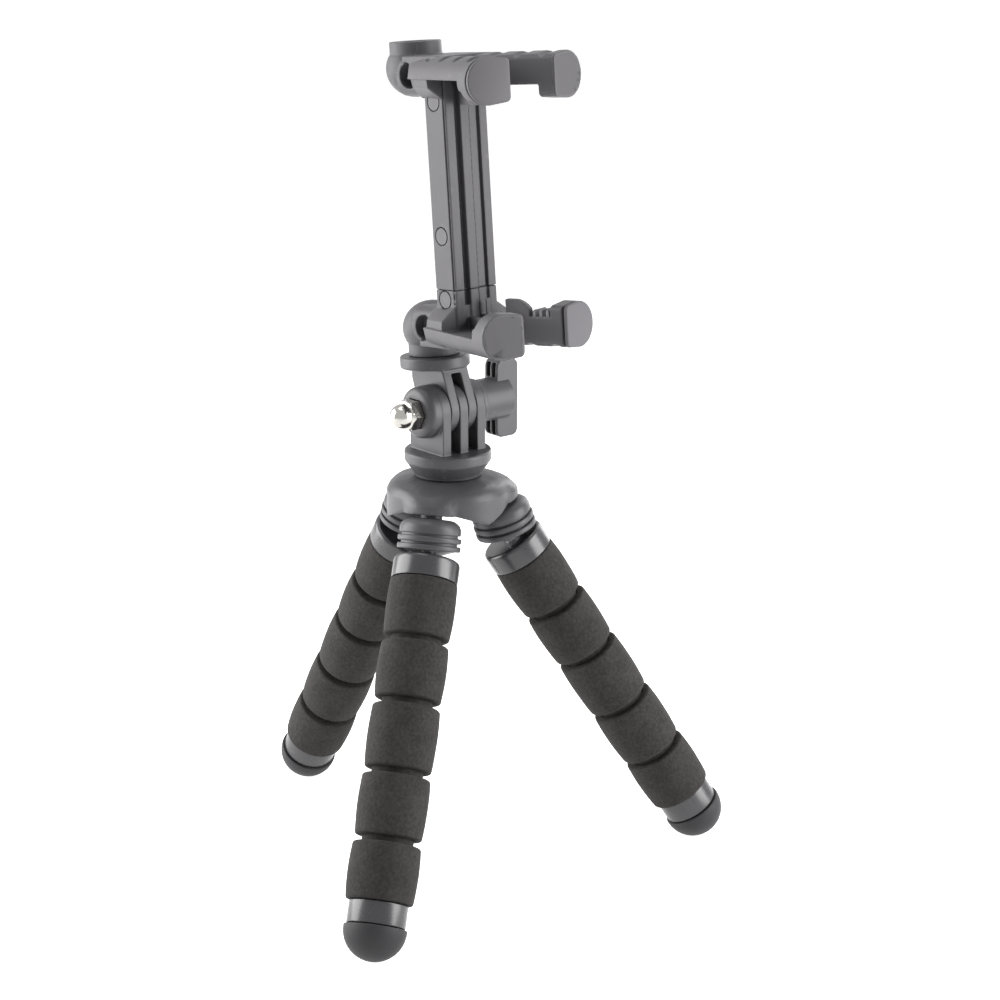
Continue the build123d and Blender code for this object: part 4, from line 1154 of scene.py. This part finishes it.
# %% Cut the inserts
THREAD_PITCH = 1.27
THREAD_CORE = 3.225
CREST = 0.28
LEAD_IN = 0.6
LEAD_SLOPE = 0.5
INSERT_START = 0.3
INSERT_LENGTH = 7.0
INSERT_OUT = 4.6
INSERT_EDGE = 0.12
INSERT_BACK = 4.5
AROUND_THREAD = 64
THREAD_LEVELS = 60


def thread_reach(height, share):
    """Distance from the axis to the thread at a height and a share of a turn, in mm."""
    phase = (height / THREAD_PITCH - share) % 1
    flank = abs(2 * phase - 1)
    return THREAD_CORE + CREST * flank + LEAD_SLOPE * max(0, LEAD_IN - (height - INSERT_START))


def insert_ring(form, jaw, height, reaches):
    """A ring of corners about an insert's axis, at these distances from it in mm."""
    ring = []
    for step, reach in enumerate(reaches):
        turn = 2 * math.pi * step / AROUND_THREAD
        spot = Vector((reach * math.cos(turn), INSERT_BACK + reach * math.sin(turn), height))
        ring.append(form.verts.new(jaw @ (spot * MM)))
    return ring


insert_end = INSERT_START + INSERT_LENGTH
insert_outside = ((INSERT_OUT, insert_end), (INSERT_OUT, INSERT_START + INSERT_EDGE),
                  (INSERT_OUT - INSERT_EDGE, INSERT_START))
for which, (jaw, body) in JAWS.items():
    form = bmesh.new()
    rows = []
    for level in range(THREAD_LEVELS + 1):
        height = INSERT_START + INSERT_LENGTH * level / THREAD_LEVELS
        reaches = [thread_reach(height, step / AROUND_THREAD) for step in range(AROUND_THREAD)]
        rows.append(insert_ring(form, jaw, height, reaches))
    rows += [insert_ring(form, jaw, height, [out] * AROUND_THREAD) for out, height in insert_outside]
    join_rows(form, rows + rows[:1], ends=False)
    mesh = finished_mesh(form, f"{which}_threaded_insert")
    sharpen(mesh, 40)
    show(mesh.name, mesh, insert_brass, body, [f"{which}_insert"])
print("thread pitch", THREAD_PITCH, "mm")

# %% [markdown]
# ## Pieces kept as the CAD model made them
#
# The screws, the rail and the core wires are plain turned or cut steel, and mostly hidden. The
# heads of the pins are as grey as the clamp. Their shapes are right, so these pieces only get
# their finish.

# %% Finish the plain pieces
KEPT = {
    "hub_plate": head_plastic, "hub_screws": plain_steel, "pan_screw": plain_steel,
    "tilt_bolt": plain_steel, "clamp_screw": plain_steel, "slide_rail": plain_steel,
    "rail_pin": clamp_plastic, "sleeve_pins": clamp_plastic,
}
for leg in LEGS:
    for bend in (1, 2, 3, 4):
        KEPT[f"leg_{leg}_core_{bend}"] = core_wire
for node, finish in KEPT.items():
    piece = frame["nodes"][node]
    piece.data.materials.clear()
    piece.data.materials.append(finish)
print("kept pieces:", len(KEPT))

# %% [markdown]
# ## Floor and finish
#
# The floor is a sheet of white paper under the feet. It takes light and shadow like any paper,
# and a share of plain white is added where the camera looks at it, so that it goes over into
# the white of the backdrop. The greater that share, the fainter the shadows that are seen.

# %% Lay the floor
FLOOR_SIZE = 6.0
FLOOR_LIFT = 0.88
floor_mesh = bpy.data.meshes.new("floor")
half = FLOOR_SIZE / 2
floor_corners = [(-half, -half, 0), (half, -half, 0), (half, half, 0), (-half, half, 0)]
floor_mesh.from_pydata(floor_corners, [], [(0, 1, 2, 3)])
floor = bpy.data.objects.new("floor", floor_mesh)
scene.collection.objects.link(floor)
paper, tree, shader = plain_material("paper")
shader.inputs["Base Color"].default_value = (0.93, 0.93, 0.93, 1)
shader.inputs["Roughness"].default_value = 0.9
shader.inputs["Specular IOR Level"].default_value = 0.1
lift = tree.nodes.new("ShaderNodeMath")
lift.operation = "MULTIPLY"
lift.inputs[1].default_value = FLOOR_LIFT
wire(tree, seen_directly(tree), lift.inputs[0])
shader.inputs["Emission Color"].default_value = (1, 1, 1, 1)
wire(tree, lift.outputs[0], shader.inputs["Emission Strength"])
floor_mesh.materials.append(paper)
print("floor is", FLOOR_SIZE, "m wide")
